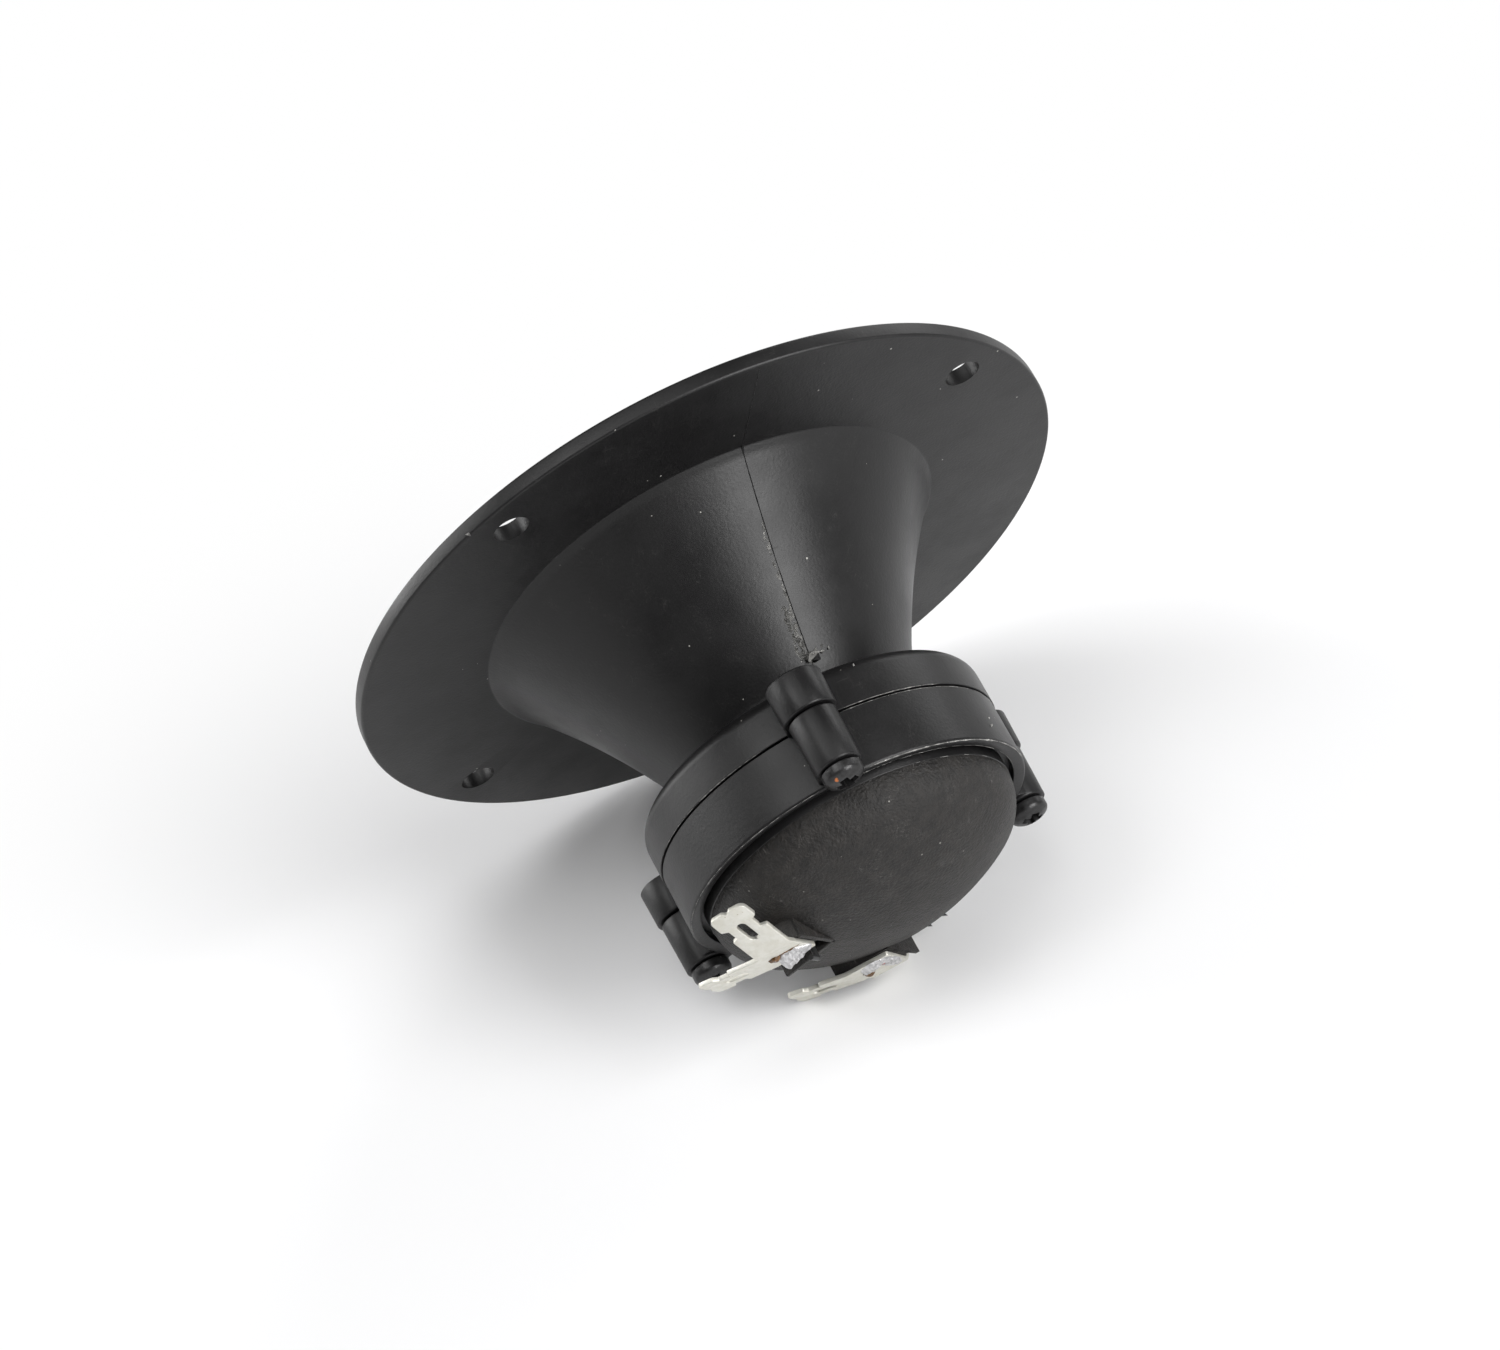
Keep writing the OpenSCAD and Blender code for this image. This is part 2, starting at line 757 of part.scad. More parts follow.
module terminal_solder_left() {
    at_pads(-1)
        terminal_solder(left_base_y);
}

module terminal_solder_right() {
    at_pads(1)
        terminal_solder(right_base_y);
}

// Pan-head screw with a cross recess, head towards +Z
module screw(index) {
    recess_w = 0.75;
    recess_l = 2.9;
    recess_d = 1.1;
    crown = 5;
    recess_turn = 20;
    shank_lap = 0.2;
    bite_z = sleeve_seam_z - screw_bite;
    head_z = boss_rear_z + fit_clear;
    color([0.13, 0.12, 0.12])
        at_boss(index)
            difference() {
                union() {
                    translate([0, 0, bite_z])
                        cylinder(r = screw_core_r, h = screw_bite + seam_gap);
                    translate([0, 0, sleeve_cover_z])
                        cylinder(r = screw_shank_r, h = boss_rear_z - sleeve_cover_z + shank_lap);
                    translate([0, 0, head_z])
                        intersection() {
                            cylinder(r = screw_head_r, h = screw_head_h);
                            translate([0, 0, screw_head_h - crown])
                                sphere(r = crown);
                        }
                }
                for (a = [recess_turn, recess_turn + 90])
                    rotate([0, 0, a])
                        translate([-recess_l / 2, -recess_w / 2, head_z + screw_head_h - recess_d])
                            cube([recess_l, recess_w, recess_d + cut]);
            }
}

module screw_1() {
    screw(0);
}

module screw_2() {
    screw(1);
}

module screw_3() {
    screw(2);
}

horn();
rear_cover();
phase_plug();
gasket();
cone_edge();
diaphragm_cone();
glue_bead();
bender_plate();
ceramic_front();
ceramic_rear();
electrode_front();
electrode_rear();
inner_solder_plate();
inner_solder_disc();
lead_plate();
lead_disc();
damping_pad();
terminal_left();
terminal_right();
terminal_solder_left();
terminal_solder_right();
screw_1();
screw_2();
screw_3();
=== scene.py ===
# %% [markdown]
# # Piezo horn tweeter
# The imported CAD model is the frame: every piece made here sits in it and moves with one of
# its bodies. The flange, horn and housing are remade as smooth turned forms, the terminals
# as bent sheet, and everything gets a procedural finish.

# %% Load the frame
import math
from math import cos, pi, radians, sin
import bmesh
import bpy
from mathutils import Euler, Matrix, Vector, noise


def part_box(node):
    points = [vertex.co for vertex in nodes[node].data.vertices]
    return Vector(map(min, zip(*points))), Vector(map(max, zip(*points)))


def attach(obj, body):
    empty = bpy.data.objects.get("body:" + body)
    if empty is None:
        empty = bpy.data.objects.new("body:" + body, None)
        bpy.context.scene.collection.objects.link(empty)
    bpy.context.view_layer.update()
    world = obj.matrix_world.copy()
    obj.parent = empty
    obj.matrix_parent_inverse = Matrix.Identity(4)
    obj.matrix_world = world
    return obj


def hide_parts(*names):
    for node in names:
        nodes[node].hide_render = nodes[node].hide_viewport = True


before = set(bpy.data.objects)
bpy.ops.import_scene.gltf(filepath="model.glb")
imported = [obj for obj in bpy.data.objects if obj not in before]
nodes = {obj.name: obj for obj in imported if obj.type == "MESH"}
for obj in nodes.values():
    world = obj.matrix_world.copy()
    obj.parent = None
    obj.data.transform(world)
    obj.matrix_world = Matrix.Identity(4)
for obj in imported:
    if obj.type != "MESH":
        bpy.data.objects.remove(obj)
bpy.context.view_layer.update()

MM = 0.001
print("CAD nodes:", len(nodes))

# %% [markdown]
# ## Sizes
# The flange, flare, neck, walls and screw positions repeat the CAD's own sizes. The housing,
# sleeves, screw heads and terminals follow the photograph, some tenths of a millimetre from
# the CAD, with wider webs and shorter blades. +Z runs from the mouth back to the dome.
# The flare is exponential, so one function gives its outside radius at any height.

# %% Sizes in millimetres
FLANGE_R, FLANGE_Z, BEAD_H = 48.0, 2.7, 0.6
FLARE_R, NECK_R, NECK_Z = 30.75, 15.8, 27.6
WALL, COVER_WALL = 1.9, 1.7
CUP_R, CUP_FACE_Z, CUP_FLOOR_Z, CUP_ROUND = 23.0, 29.75, 31.3, 2.0
SEAM_Z, SEAM_EDGE = 35.8, 0.07
COVER_R, COVER_Z, SHOULDER_Z = 22.85, 36.03, 44.0
RING_Z, GROOVE_W, GROOVE_D = 43.75, 0.75, 1.2
DOME_R, DOME_Z, DOME_H, DOME_EDGE = 20.5, 44.5, 10.5, 6.3
BOSS_R, BOSS_AZ, BOSS_TOP_Z = 25.6, 105, 43.6


def flare_at(z):
    """Outside radius of the flare at a height."""
    rate = math.log(FLARE_R / NECK_R) / (NECK_Z - FLANGE_Z)
    return NECK_R * math.exp(rate * (NECK_Z - z))


print("flare at half its length:", round(flare_at(15), 2), "mm")

# %% [markdown]
# ## Turned forms
# A turned part is a profile swept round the axis. It could be a Screw modifier, but a mesh
# built ring by ring lets the profile carry its own fillets. The same skin of quads between
# rows of vertices serves every other grid in the script.

# %% Turned forms
def outward(bm):
    """Turns the faces of a closed bmesh outward, by the sign of its volume."""
    bmesh.ops.recalc_face_normals(bm, faces=bm.faces)
    if bm.calc_volume(signed=True) < 0:
        bmesh.ops.reverse_faces(bm, faces=bm.faces)


def skin(bm, rows, loop=True, ends=()):
    """Quads between rows of vertices, triangles at a row of one, and faces over some rows."""
    for a, b in zip(rows, rows[1:]):
        count = max(len(a), len(b))
        for k in range(count if loop else count - 1):
            j = (k + 1) % count
            corners = list(dict.fromkeys((a[k % len(a)], a[j % len(a)],
                                          b[j % len(b)], b[k % len(b)])))
            if len(corners) > 2:
                bm.faces.new(corners)
    for end in ends:
        bm.faces.new(rows[end])


def arc(cx, cz, r, a0, a1, parts=10):
    """Points of an arc in the profile plane."""
    angles = [radians(a0 + (a1 - a0) * i / parts) for i in range(parts + 1)]
    return [(cx + r * cos(a), cz + r * sin(a)) for a in angles]


def vert(bm, x, y, z):
    """A vertex at a place in millimetres."""
    return bm.verts.new((x * MM, y * MM, z * MM))


def linked(name, data):
    """An object with some data, linked to the scene."""
    obj = bpy.data.objects.new(name, data)
    bpy.context.scene.collection.objects.link(obj)
    return obj


def mesh_object(name, bm):
    """A linked object from a bmesh."""
    mesh = bpy.data.meshes.new(name)
    bm.to_mesh(mesh)
    bm.free()
    return linked(name, mesh)


def revolve(name, points, count=256, closed=True):
    """A solid swept round the axis from (radius, height) points in millimetres."""
    bm = bmesh.new()
    rings = []
    for r, z in points:
        angles = [2 * pi * i / count for i in range(count if r > 1e-6 else 1)]
        rings.append([vert(bm, r * cos(a), r * sin(a), z) for a in angles])
    skin(bm, rings + rings[:1] if closed else rings)
    outward(bm)
    return mesh_object(name, bm)


print("points in a quarter arc:", len(arc(0, 0, 1, 0, 90)))

# %% [markdown]
# ## Solids, cuts and pieces
# A prism is a flat outline pushed straight up, as a sketch is in CAD. Holes and hollows are
# carved with booleans, and edges sharper than a limit stay crisp under smooth shading.
# Each piece then gets its material and rides on a body, and where it takes the place of a
# CAD solid it says which, and that solid is hidden.

# %% Solids, cuts and pieces
def crease(obj, degrees=32):
    """Smooth shading with crisp edges above an angle."""
    bm = bmesh.new()
    bm.from_mesh(obj.data)
    limit = radians(degrees)
    for f in bm.faces:
        f.smooth = True
    for e in bm.edges:
        e.smooth = len(e.link_faces) == 2 and e.calc_face_angle(0) < limit
    bm.to_mesh(obj.data)
    bm.free()


def solid(name, bm, degrees):
    """An object from a closed bmesh, with crisp edges above an angle."""
    outward(bm)
    obj = mesh_object(name, bm)
    crease(obj, degrees)
    return obj


def evaluated(obj):
    """The mesh that an object shows, with its modifiers or curve settings applied."""
    deps = bpy.context.evaluated_depsgraph_get()
    return bpy.data.meshes.new_from_object(obj.evaluated_get(deps))


def carve(obj, tools, operation="DIFFERENCE"):
    """Carves or joins tools into an object, then removes the tools."""
    for tool in tools:
        mod = obj.modifiers.new("carve", "BOOLEAN")
        mod.operation = operation
        mod.solver = "MANIFOLD"
        mod.object = tool
    mesh = evaluated(obj)
    obj.modifiers.clear()
    obj.data = mesh
    for tool in tools:
        bpy.data.objects.remove(tool)


def prism(name, outline, z0, z1, matrix=Matrix(), round_edge=0.0):
    """A straight solid over an outline in millimetres, with rounded edges if asked."""
    bm = bmesh.new()
    face = bm.faces.new([vert(bm, x, y, z0) for x, y in outline])
    grown = bmesh.ops.extrude_face_region(bm, geom=[face])["geom"]
    top = [v for v in grown if isinstance(v, bmesh.types.BMVert)]
    bmesh.ops.translate(bm, verts=top, vec=(0, 0, (z1 - z0) * MM))
    bm.normal_update()
    if round_edge:
        edges = [e for e in bm.edges if e.calc_face_angle(0) > radians(30)]
        bmesh.ops.bevel(bm, geom=edges, offset=round_edge * MM, segments=3, profile=0.5,
                        affect="EDGES", clamp_overlap=True)
    bm.transform(matrix)
    outward(bm)
    return mesh_object(name, bm)


def disc_outline(r, count=48):
    """Points of a circle."""
    return arc(0, 0, r, 0, 360, count)[:-1]


def box_outline(x0, y0, x1, y1):
    """Outline of a rectangle."""
    return [(x0, y0), (x1, y0), (x1, y1), (x0, y1)]


def turned(azimuth, out=0.0):
    """Matrix that moves outward by some millimetres and then turns about the axis."""
    spin = Matrix.Rotation(radians(azimuth), 4, "Z")
    return spin @ Matrix.Translation((out * MM, 0, 0))


def piece(obj, material, body="body", stands_for=()):
    """Dresses a piece, puts it on its body and hides the CAD solids it replaces."""
    obj.data.materials.clear()
    obj.data.materials.append(material)
    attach(obj, body)
    if stands_for:
        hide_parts(*stands_for)


print("points in a circle:", len(disc_outline(1)))

# %% [markdown]
# ## Camera
# The camera was worked out by fitting the circles of the flange, its holes, the housing's
# edge and the dome to the photograph. The tweeter lies on its flange's rim and the tips of
# one terminal, so the frame is tilted in the picture, not the camera.

# %% Camera
EYE = Vector((-159.414, 421.504, 217.699)) * MM
RIGHT = Vector((0.889576, 0.123388, 0.439807))
DOWN = Vector((-0.325744, -0.503624, 0.800159))
FORWARD = Vector((0.320227, -0.855066, -0.407818))
camera_data = bpy.data.cameras.new("camera")
camera_data.sensor_width = 36
camera_data.lens = 95.0
camera_data.clip_start = 0.01
camera = linked("camera", camera_data)
facing = Matrix((RIGHT, -DOWN, -FORWARD)).transposed().to_4x4()
camera.matrix_world = Matrix.Translation(EYE) @ facing
bpy.context.scene.camera = camera
print("camera distance:", round(EYE.length, 3), "m")

# %% [markdown]
# ## Where it rests
# The floor touches the rim of the flange and the two blade tips of the right terminal.
# The plane's tilt about the line through the tips is found by bisection.

# %% Resting plane
TIP_OUT = Vector((-8.2, -21.8, 51.4))
TIP_SIDE = Vector((4.2, -21.7, 47.9))
MOST_TILT, HALVINGS = 1.2, 50
tips = (TIP_OUT - TIP_SIDE).normalized()
lean = (Vector((0, 1, 0)) - tips * tips.y).normalized()
across = tips.cross(lean)


def rim_gap(angle):
    """How far the tips are over the rim, for a floor tilted by an angle, and its up."""
    up = lean * cos(angle) + across * sin(angle)
    rim = FLANGE_Z * up.z - FLANGE_R * math.hypot(up.x, up.y)
    return up.dot(TIP_OUT) - rim, up


low, high = 0.0, MOST_TILT
for _ in range(HALVINGS):
    middle = (low + high) / 2
    if rim_gap(middle)[0] < 0:
        high = middle
    else:
        low = middle
UP = rim_gap(middle)[1]
FLOOR_POINT = TIP_OUT * MM
print("up:", [round(c, 3) for c in UP])

# %% [markdown]
# ## Node tools
# A procedural finish is a chain of small nodes. These helpers add a node, feed a socket and
# do the sums, so that each effect below stays short.

# %% Node tools
def add(tree, kind, **values):
    """A node with its plain properties set."""
    node = tree.nodes.new(kind)
    for key, value in values.items():
        setattr(node, key, value)
    return node


def feed(value, socket):
    """Sets a socket to a number, or links another socket to it."""
    if isinstance(value, (int, float)):
        socket.default_value = value
    else:
        socket.id_data.links.new(value, socket)


def maths(operation, *values):
    """A math node fed by sockets or numbers, in the tree of the first socket."""
    tree = next(v.id_data for v in values if not isinstance(v, (int, float)))
    node = add(tree, "ShaderNodeMath", operation=operation)
    for value, socket in zip(values, node.inputs):
        feed(value, socket)
    return node.outputs[0]


def times(a, b):
    """Product of two sockets or numbers."""
    return maths("MULTIPLY", a, b)


def plus(a, b):
    """Sum of two sockets or numbers."""
    return maths("ADD", a, b)


def inverse(mask):
    """One minus a mask."""
    return maths("SUBTRACT", 1.0, mask)


def millimetres(tree, stretch=(1, 1, 1)):
    """Object coordinates in millimetres."""
    coords = add(tree, "ShaderNodeTexCoord")
    scale = add(tree, "ShaderNodeVectorMath", operation="MULTIPLY")
    scale.inputs[1].default_value = [s / MM for s in stretch]
    feed(coords.outputs["Object"], scale.inputs[0])
    return scale.outputs[0]


def noise_of(vector, scale, detail=2.0, rough=0.5):
    """Noise over a vector, with a number or a socket for its scale."""
    node = add(vector.id_data, "ShaderNodeTexNoise")
    feed(vector, node.inputs["Vector"])
    feed(scale, node.inputs["Scale"])
    node.inputs["Detail"].default_value = detail
    node.inputs["Roughness"].default_value = rough
    return node.outputs["Fac"]


def smooth_step(value, low, high):
    """Smooth rise from 0 to 1 of a value between two limits."""
    node = add(value.id_data, "ShaderNodeMapRange", interpolation_type="SMOOTHSTEP")
    feed(value, node.inputs["Value"])
    feed(low, node.inputs["From Min"])
    feed(high, node.inputs["From Max"])
    return node.outputs["Result"]


def new_group(name, output, **inputs):
    """An empty node group with number inputs and one number output."""
    group = bpy.data.node_groups.new(name, "ShaderNodeTree")
    for label, default in inputs.items():
        socket = group.interface.new_socket(label, in_out="INPUT",
                                            socket_type="NodeSocketFloat")
        socket.default_value = default
    group.interface.new_socket(output, in_out="OUTPUT", socket_type="NodeSocketFloat")
    start, end = group.nodes.new("NodeGroupInput"), group.nodes.new("NodeGroupOutput")
    return group, start.outputs, end.inputs[0]


print("effect groups so far:", len(bpy.data.node_groups))

# %% [markdown]
# ## Node groups for effects
# Each effect is a small group that works in millimetres of object space: moulding grain,
# dust specks, fine scratches, blotches, one spot. A group only gives a number, and the
# material decides what that number does to its colour, roughness or bump.

# %% Node groups
def grain_group():
    """Height of a fine moulded grain."""
    tree, given, height = new_group("moulding grain", "Height", Scale=3.0)
    place = millimetres(tree)
    fine = noise_of(place, given["Scale"], 4, 0.6)
    coarse = noise_of(place, times(given["Scale"], 0.25), 2)
    feed(plus(fine, times(coarse, 0.6)), height)
    return tree


def speck_group():
    """Mask of scattered specks, in a cell pattern with a random size each."""
    tree, given, mask = new_group("dust specks", "Mask", Scale=0.6, Size=0.1, Share=0.25)
    cells = add(tree, "ShaderNodeTexVoronoi", feature="F1")
    feed(millimetres(tree), cells.inputs["Vector"])
    feed(given["Scale"], cells.inputs["Scale"])
    chance = add(tree, "ShaderNodeSeparateColor")
    feed(cells.outputs["Color"], chance.inputs[0])
    size = times(given["Size"], plus(chance.outputs[1], 0.25))
    dot = inverse(smooth_step(cells.outputs["Distance"], times(size, 0.6), size))
    kept = maths("LESS_THAN", chance.outputs[0], given["Share"])
    feed(times(dot, kept), mask)
    return tree


def scratch_group():
    """Mask of short fine scratches in three directions."""
    tree, given, mask = new_group("fine scratches", "Mask", Scale=1.0, Share=0.5)
    lines = 0.0
    for stretch in ((0.12, 3.0, 1.2), (2.6, 0.15, 0.9), (1.0, 1.6, 0.12)):
        fibre = noise_of(millimetres(tree, stretch), given["Scale"], 1)
        off_middle = maths("ABSOLUTE", maths("SUBTRACT", fibre, 0.5))
        lines = maths("MAXIMUM", lines, inverse(smooth_step(off_middle, 0.001, 0.006)))
    patchy = noise_of(millimetres(tree), 0.35, 2)
    where = smooth_step(patchy, given["Share"], plus(given["Share"], 0.12))
    feed(times(lines, where), mask)
    return tree


def blotch_group():
    """Slow variation from 0 to 1, as in handled or unevenly cooled plastic."""
    tree, given, value = new_group("blotches", "Value", Scale=0.15)
    slow = noise_of(millimetres(tree), given["Scale"], 3, 0.55)
    feed(smooth_step(slow, 0.3, 0.7), value)
    return tree


def spot_group():
    """Mask that is 1 within a ragged radius of a point, in millimetres."""
    tree, given, mask = new_group("spot", "Mask", X=0.0, Y=0.0, Z=0.0, Radius=1.0)
    centre = add(tree, "ShaderNodeCombineXYZ")
    for axis in range(3):
        feed(given[axis], centre.inputs[axis])
    place = millimetres(tree)
    away = add(tree, "ShaderNodeVectorMath", operation="DISTANCE")
    feed(place, away.inputs[0])
    feed(centre.outputs[0], away.inputs[1])
    ragged = plus(away.outputs["Value"], times(noise_of(place, 1.6, 3), 1.2))
    reach = plus(given["Radius"], 0.6)
    feed(inverse(smooth_step(ragged, times(reach, 0.8), reach)), mask)
    return tree


GRAIN, SPECKS, SCRATCHES = grain_group(), speck_group(), scratch_group()
BLOTCHES, SPOT = blotch_group(), spot_group()
print("effect groups:", len(bpy.data.node_groups))

# %% [markdown]
# ## Materials
# A material starts from a Principled shader with its constants on the sockets. Helpers mix
# a mask into the colour or the roughness, and the bump comes from the grain.

# %% Material tools
def shader(name, color, rough, metallic=0.0, specular=0.5):
    """A new Principled material."""
    material = bpy.data.materials.new(name)
    material.use_nodes = True
    sockets = material.node_tree.nodes["Principled BSDF"].inputs
    sockets["Base Color"].default_value = (*color, 1)
    sockets["Roughness"].default_value = rough
    sockets["Metallic"].default_value = metallic
    sockets["Specular IOR Level"].default_value = specular
    return material


def effect(material, group, **values):
    """The output of an effect group placed in a material, with some inputs set."""
    node = add(material.node_tree, "ShaderNodeGroup", node_tree=group)
    for key, value in values.items():
        node.inputs[key].default_value = value
    return node.outputs[0]


def tint(material, mask, color, amount):
    """Mixes a colour into the base colour where a mask is."""
    tree = material.node_tree
    node = add(tree, "ShaderNodeMix", data_type="RGBA")
    socket = tree.nodes["Principled BSDF"].inputs["Base Color"]
    if socket.is_linked:
        feed(socket.links[0].from_socket, node.inputs[6])
    else:
        node.inputs[6].default_value = socket.default_value
    node.inputs[7].default_value = (*color, 1)
    feed(times(mask, amount), node.inputs[0])
    feed(node.outputs[2], socket)


def roughen(material, mask, amount):
    """Adds a mask times an amount to the roughness."""
    socket = material.node_tree.nodes["Principled BSDF"].inputs["Roughness"]
    base = socket.links[0].from_socket if socket.is_linked else socket.default_value
    feed(plus(times(mask, amount), base), socket)


def bump(material, height, depth):
    """Bump from a height, with its depth in millimetres."""
    tree = material.node_tree
    node = add(tree, "ShaderNodeBump")
    node.inputs["Strength"].default_value = 1.0
    node.inputs["Distance"].default_value = depth * MM
    feed(height, node.inputs["Height"])
    feed(node.outputs["Normal"], tree.nodes["Principled BSDF"].inputs["Normal"])


def grain(material, scale, depth):
    """Bump from the moulding grain."""
    bump(material, effect(material, GRAIN, Scale=scale), depth)


def stain(material, scale, color, amount):
    """Blotches of another colour."""
    tint(material, effect(material, BLOTCHES, Scale=scale), color, amount)


def dust(material, scale, size, share, color, amount):
    """Specks of another colour."""
    specks = effect(material, SPECKS, Scale=scale, Size=size, Share=share)
    tint(material, specks, color, amount)


def shade(color, factor):
    """A colour made darker or lighter."""
    return [min(c * factor, 1) for c in color]


print("materials in the frame:", len(bpy.data.materials))

# %% [markdown]
# ### Black plastic
# Injection-moulded polystyrene: nearly black, satin, with a very fine grain, a few dust
# specks and scuffs. The dome's skin is rougher and greyer than the smooth walls. Torn
# plastic is paler, partly since it is stressed and broken and partly as painted highlight:
# its pale colour, blotches and specks also paint bright lines and streaks of light.

# %% Black plastic
def plastic(name, color, rough, grain_depth, specks, scratches):
    """Moulded black plastic with grain, dust and scuffs."""
    material = shader(name, color, rough, specular=0.32)
    blotches = effect(material, BLOTCHES, Scale=0.12)
    tint(material, blotches, shade(color, 1.35), 0.8)
    roughen(material, blotches, 0.08)
    marks = effect(material, SCRATCHES, Scale=0.9, Share=0.5)
    tint(material, marks, (0.2, 0.19, 0.18), scratches)
    roughen(material, marks, 0.1)
    dust(material, 0.55, 0.07, specks, (0.42, 0.41, 0.38), 0.8)
    grain(material, 2.6, grain_depth)
    return material


SATIN = plastic("black plastic, satin", (0.0062, 0.0060, 0.0062), 0.36, 0.02, 0.2, 0.06)
MATTE = plastic("black plastic, matt skin", (0.0082, 0.0075, 0.007), 0.48, 0.2, 0.6, 0.4)
stain(MATTE, 0.8, (0.021, 0.0185, 0.0165), 0.6)

# Pale colour, blotches and specks: partly stress-whitened plastic, partly painted highlight.
TORN_AND_HIGHLIGHT = shader("torn plastic and painted highlight", (0.07, 0.069, 0.066), 0.42)
stain(TORN_AND_HIGHLIGHT, 1.3, (0.3, 0.295, 0.28), 0.8)
dust(TORN_AND_HIGHLIGHT, 2.2, 0.3, 0.5, (0.55, 0.54, 0.51), 0.8)
grain(TORN_AND_HIGHLIGHT, 2.0, 0.15)
print("plastics:", SATIN.name, MATTE.name, TORN_AND_HIGHLIGHT.name)

# %% [markdown]
# ### Metals
# The terminals are tinned sheet, off-white and dull with small stains. The solder is
# brighter and cooler, with brown flux beside it. The screws are black oxide with pale
# specks, and one has a spot of rust.

# %% Metals
TIN = shader("tinned sheet", (0.67, 0.66, 0.61), 0.42, metallic=0.75)
stain(TIN, 0.7, (0.56, 0.54, 0.46), 0.45)
dust(TIN, 1.6, 0.16, 0.3, (0.32, 0.28, 0.18), 0.6)
roughen(TIN, effect(TIN, BLOTCHES, Scale=1.4), 0.18)
grain(TIN, 1.2, 0.03)

SOLDER = shader("solder", (0.7, 0.695, 0.7), 0.3, metallic=1.0)
stain(SOLDER, 1.5, (0.36, 0.355, 0.36), 0.75)
roughen(SOLDER, effect(SOLDER, BLOTCHES, Scale=2.0), 0.2)
grain(SOLDER, 1.0, 0.32)

FLUX = shader("flux", (0.16, 0.075, 0.02), 0.22, specular=0.6)
stain(FLUX, 1.6, (0.05, 0.025, 0.01), 0.8)
dust(FLUX, 2.0, 0.3, 0.4, (0.42, 0.24, 0.1), 0.7)
grain(FLUX, 1.6, 0.1)

SCREW = shader("black oxide screw", (0.013, 0.0125, 0.0125), 0.34, metallic=0.4)
stain(SCREW, 1.2, (0.034, 0.034, 0.035), 0.7)
dust(SCREW, 1.7, 0.2, 0.25, (0.42, 0.42, 0.4), 0.7)
rust = effect(SCREW, SPOT, X=-8.2, Y=25.9, Z=45.4, Radius=0.28)
tint(SCREW, rust, (0.45, 0.13, 0.03), 0.85)
grain(SCREW, 1.6, 0.05)
print("metals:", TIN.name, SOLDER.name, SCREW.name)

# %% [markdown]
# ## Horn
# One closed profile goes round the shell: rim, flare, neck, cup, and back down the inside
# to the mouth and the bead. That gives each edge its own radius, where a Solidify modifier
# would give them all one. The four holes are carved.

# %% Horn shell
RIM_ROUND, FOOT_ROUND, NECK_FILLET, MOUTH_ROUND = 0.35, 0.35, 1.8, 1.8
BEAD_IN, BEAD_OUT, BEAD_ROUND = 45.1, 46.7, 0.25
HOLE_R, HOLE_CIRCLE, HOLE_AZ = 2.3, 42.8, 45


def flare_run(z0, z1, wall, count=40):
    """Profile points of the flare between two heights."""
    heights = [z0 + (z1 - z0) * i / count for i in range(count + 1)]
    return [(flare_at(z) - wall, z) for z in heights]


def horn_profile():
    """Closed profile of the horn, in order round the wall."""
    mouth = flare_at(FLANGE_Z) - WALL
    points = arc(FLANGE_R - RIM_ROUND, BEAD_H + RIM_ROUND, RIM_ROUND, -90, 0, 6)
    points += arc(FLANGE_R - RIM_ROUND, FLANGE_Z - RIM_ROUND, RIM_ROUND, 0, 90, 6)
    points += arc(FLARE_R + FOOT_ROUND, FLANGE_Z + FOOT_ROUND, FOOT_ROUND, -90, -150, 4)
    points += flare_run(FLANGE_Z + 0.5, NECK_Z, 0)
    points += arc(NECK_R + NECK_FILLET, NECK_Z, NECK_FILLET, 180, 90, 12)[1:]
    points += arc(CUP_R - CUP_ROUND, CUP_FACE_Z + CUP_ROUND, CUP_ROUND, -90, 0, 12)
    points += [(CUP_R, SEAM_Z - SEAM_EDGE), (CUP_R - SEAM_EDGE, SEAM_Z)]
    points += [(CUP_R - WALL, SEAM_Z), (CUP_R - WALL, CUP_FLOOR_Z)]
    points += [(NECK_R - WALL, CUP_FLOOR_Z)]
    points += flare_run(NECK_Z, FLANGE_Z, WALL)
    points += arc(mouth + MOUTH_ROUND, BEAD_H + MOUTH_ROUND, MOUTH_ROUND, 180, 270, 12)[1:]
    points += [(BEAD_IN, BEAD_H)]
    points += arc(BEAD_IN + BEAD_ROUND, BEAD_ROUND, BEAD_ROUND, 180, 270, 4)
    points += arc(BEAD_OUT - BEAD_ROUND, BEAD_ROUND, BEAD_ROUND, 270, 360, 4)
    return points + [(BEAD_OUT, BEAD_H)]


horn = revolve("horn_shell", horn_profile(), 288)
hole = disc_outline(HOLE_R, 64)
carve(horn, [prism("hole", hole, -2, 6, turned(HOLE_AZ + 90 * i, HOLE_CIRCLE))
             for i in range(4)])
crease(horn)
piece(horn, SATIN, stands_for=["horn"])
print("horn faces:", len(horn.data.polygons))

# %% [markdown]
# ## Sleeves of the screws
# Each is a round post with a little draft on a flat web that runs to the housing. The horn's
# sleeves reach past the housing's seam, so they are cut clear of the cover's wall. The end
# faces have small rounded edges, as the moulding has, and the screw sits in a bored hole.

# %% Sleeves
SLEEVE_FRONT_Z, SLEEVE_SEAM_Z, SLEEVE_COVER_Z = 31.2, 36.2, 36.45
SLEEVE_FRONT_R, SLEEVE_REAR_R, SLEEVE_ROUND = 3.45, 3.1, 0.22
DRAFT = math.tan(radians(1.5))
WEB_TOP_Z, WEB_INSET, WEB_ROUND = 43.3, 0.15, 0.12
PILOT_R, PILOT_Z, CLEARANCE_R = 1.3, 32.5, 1.55


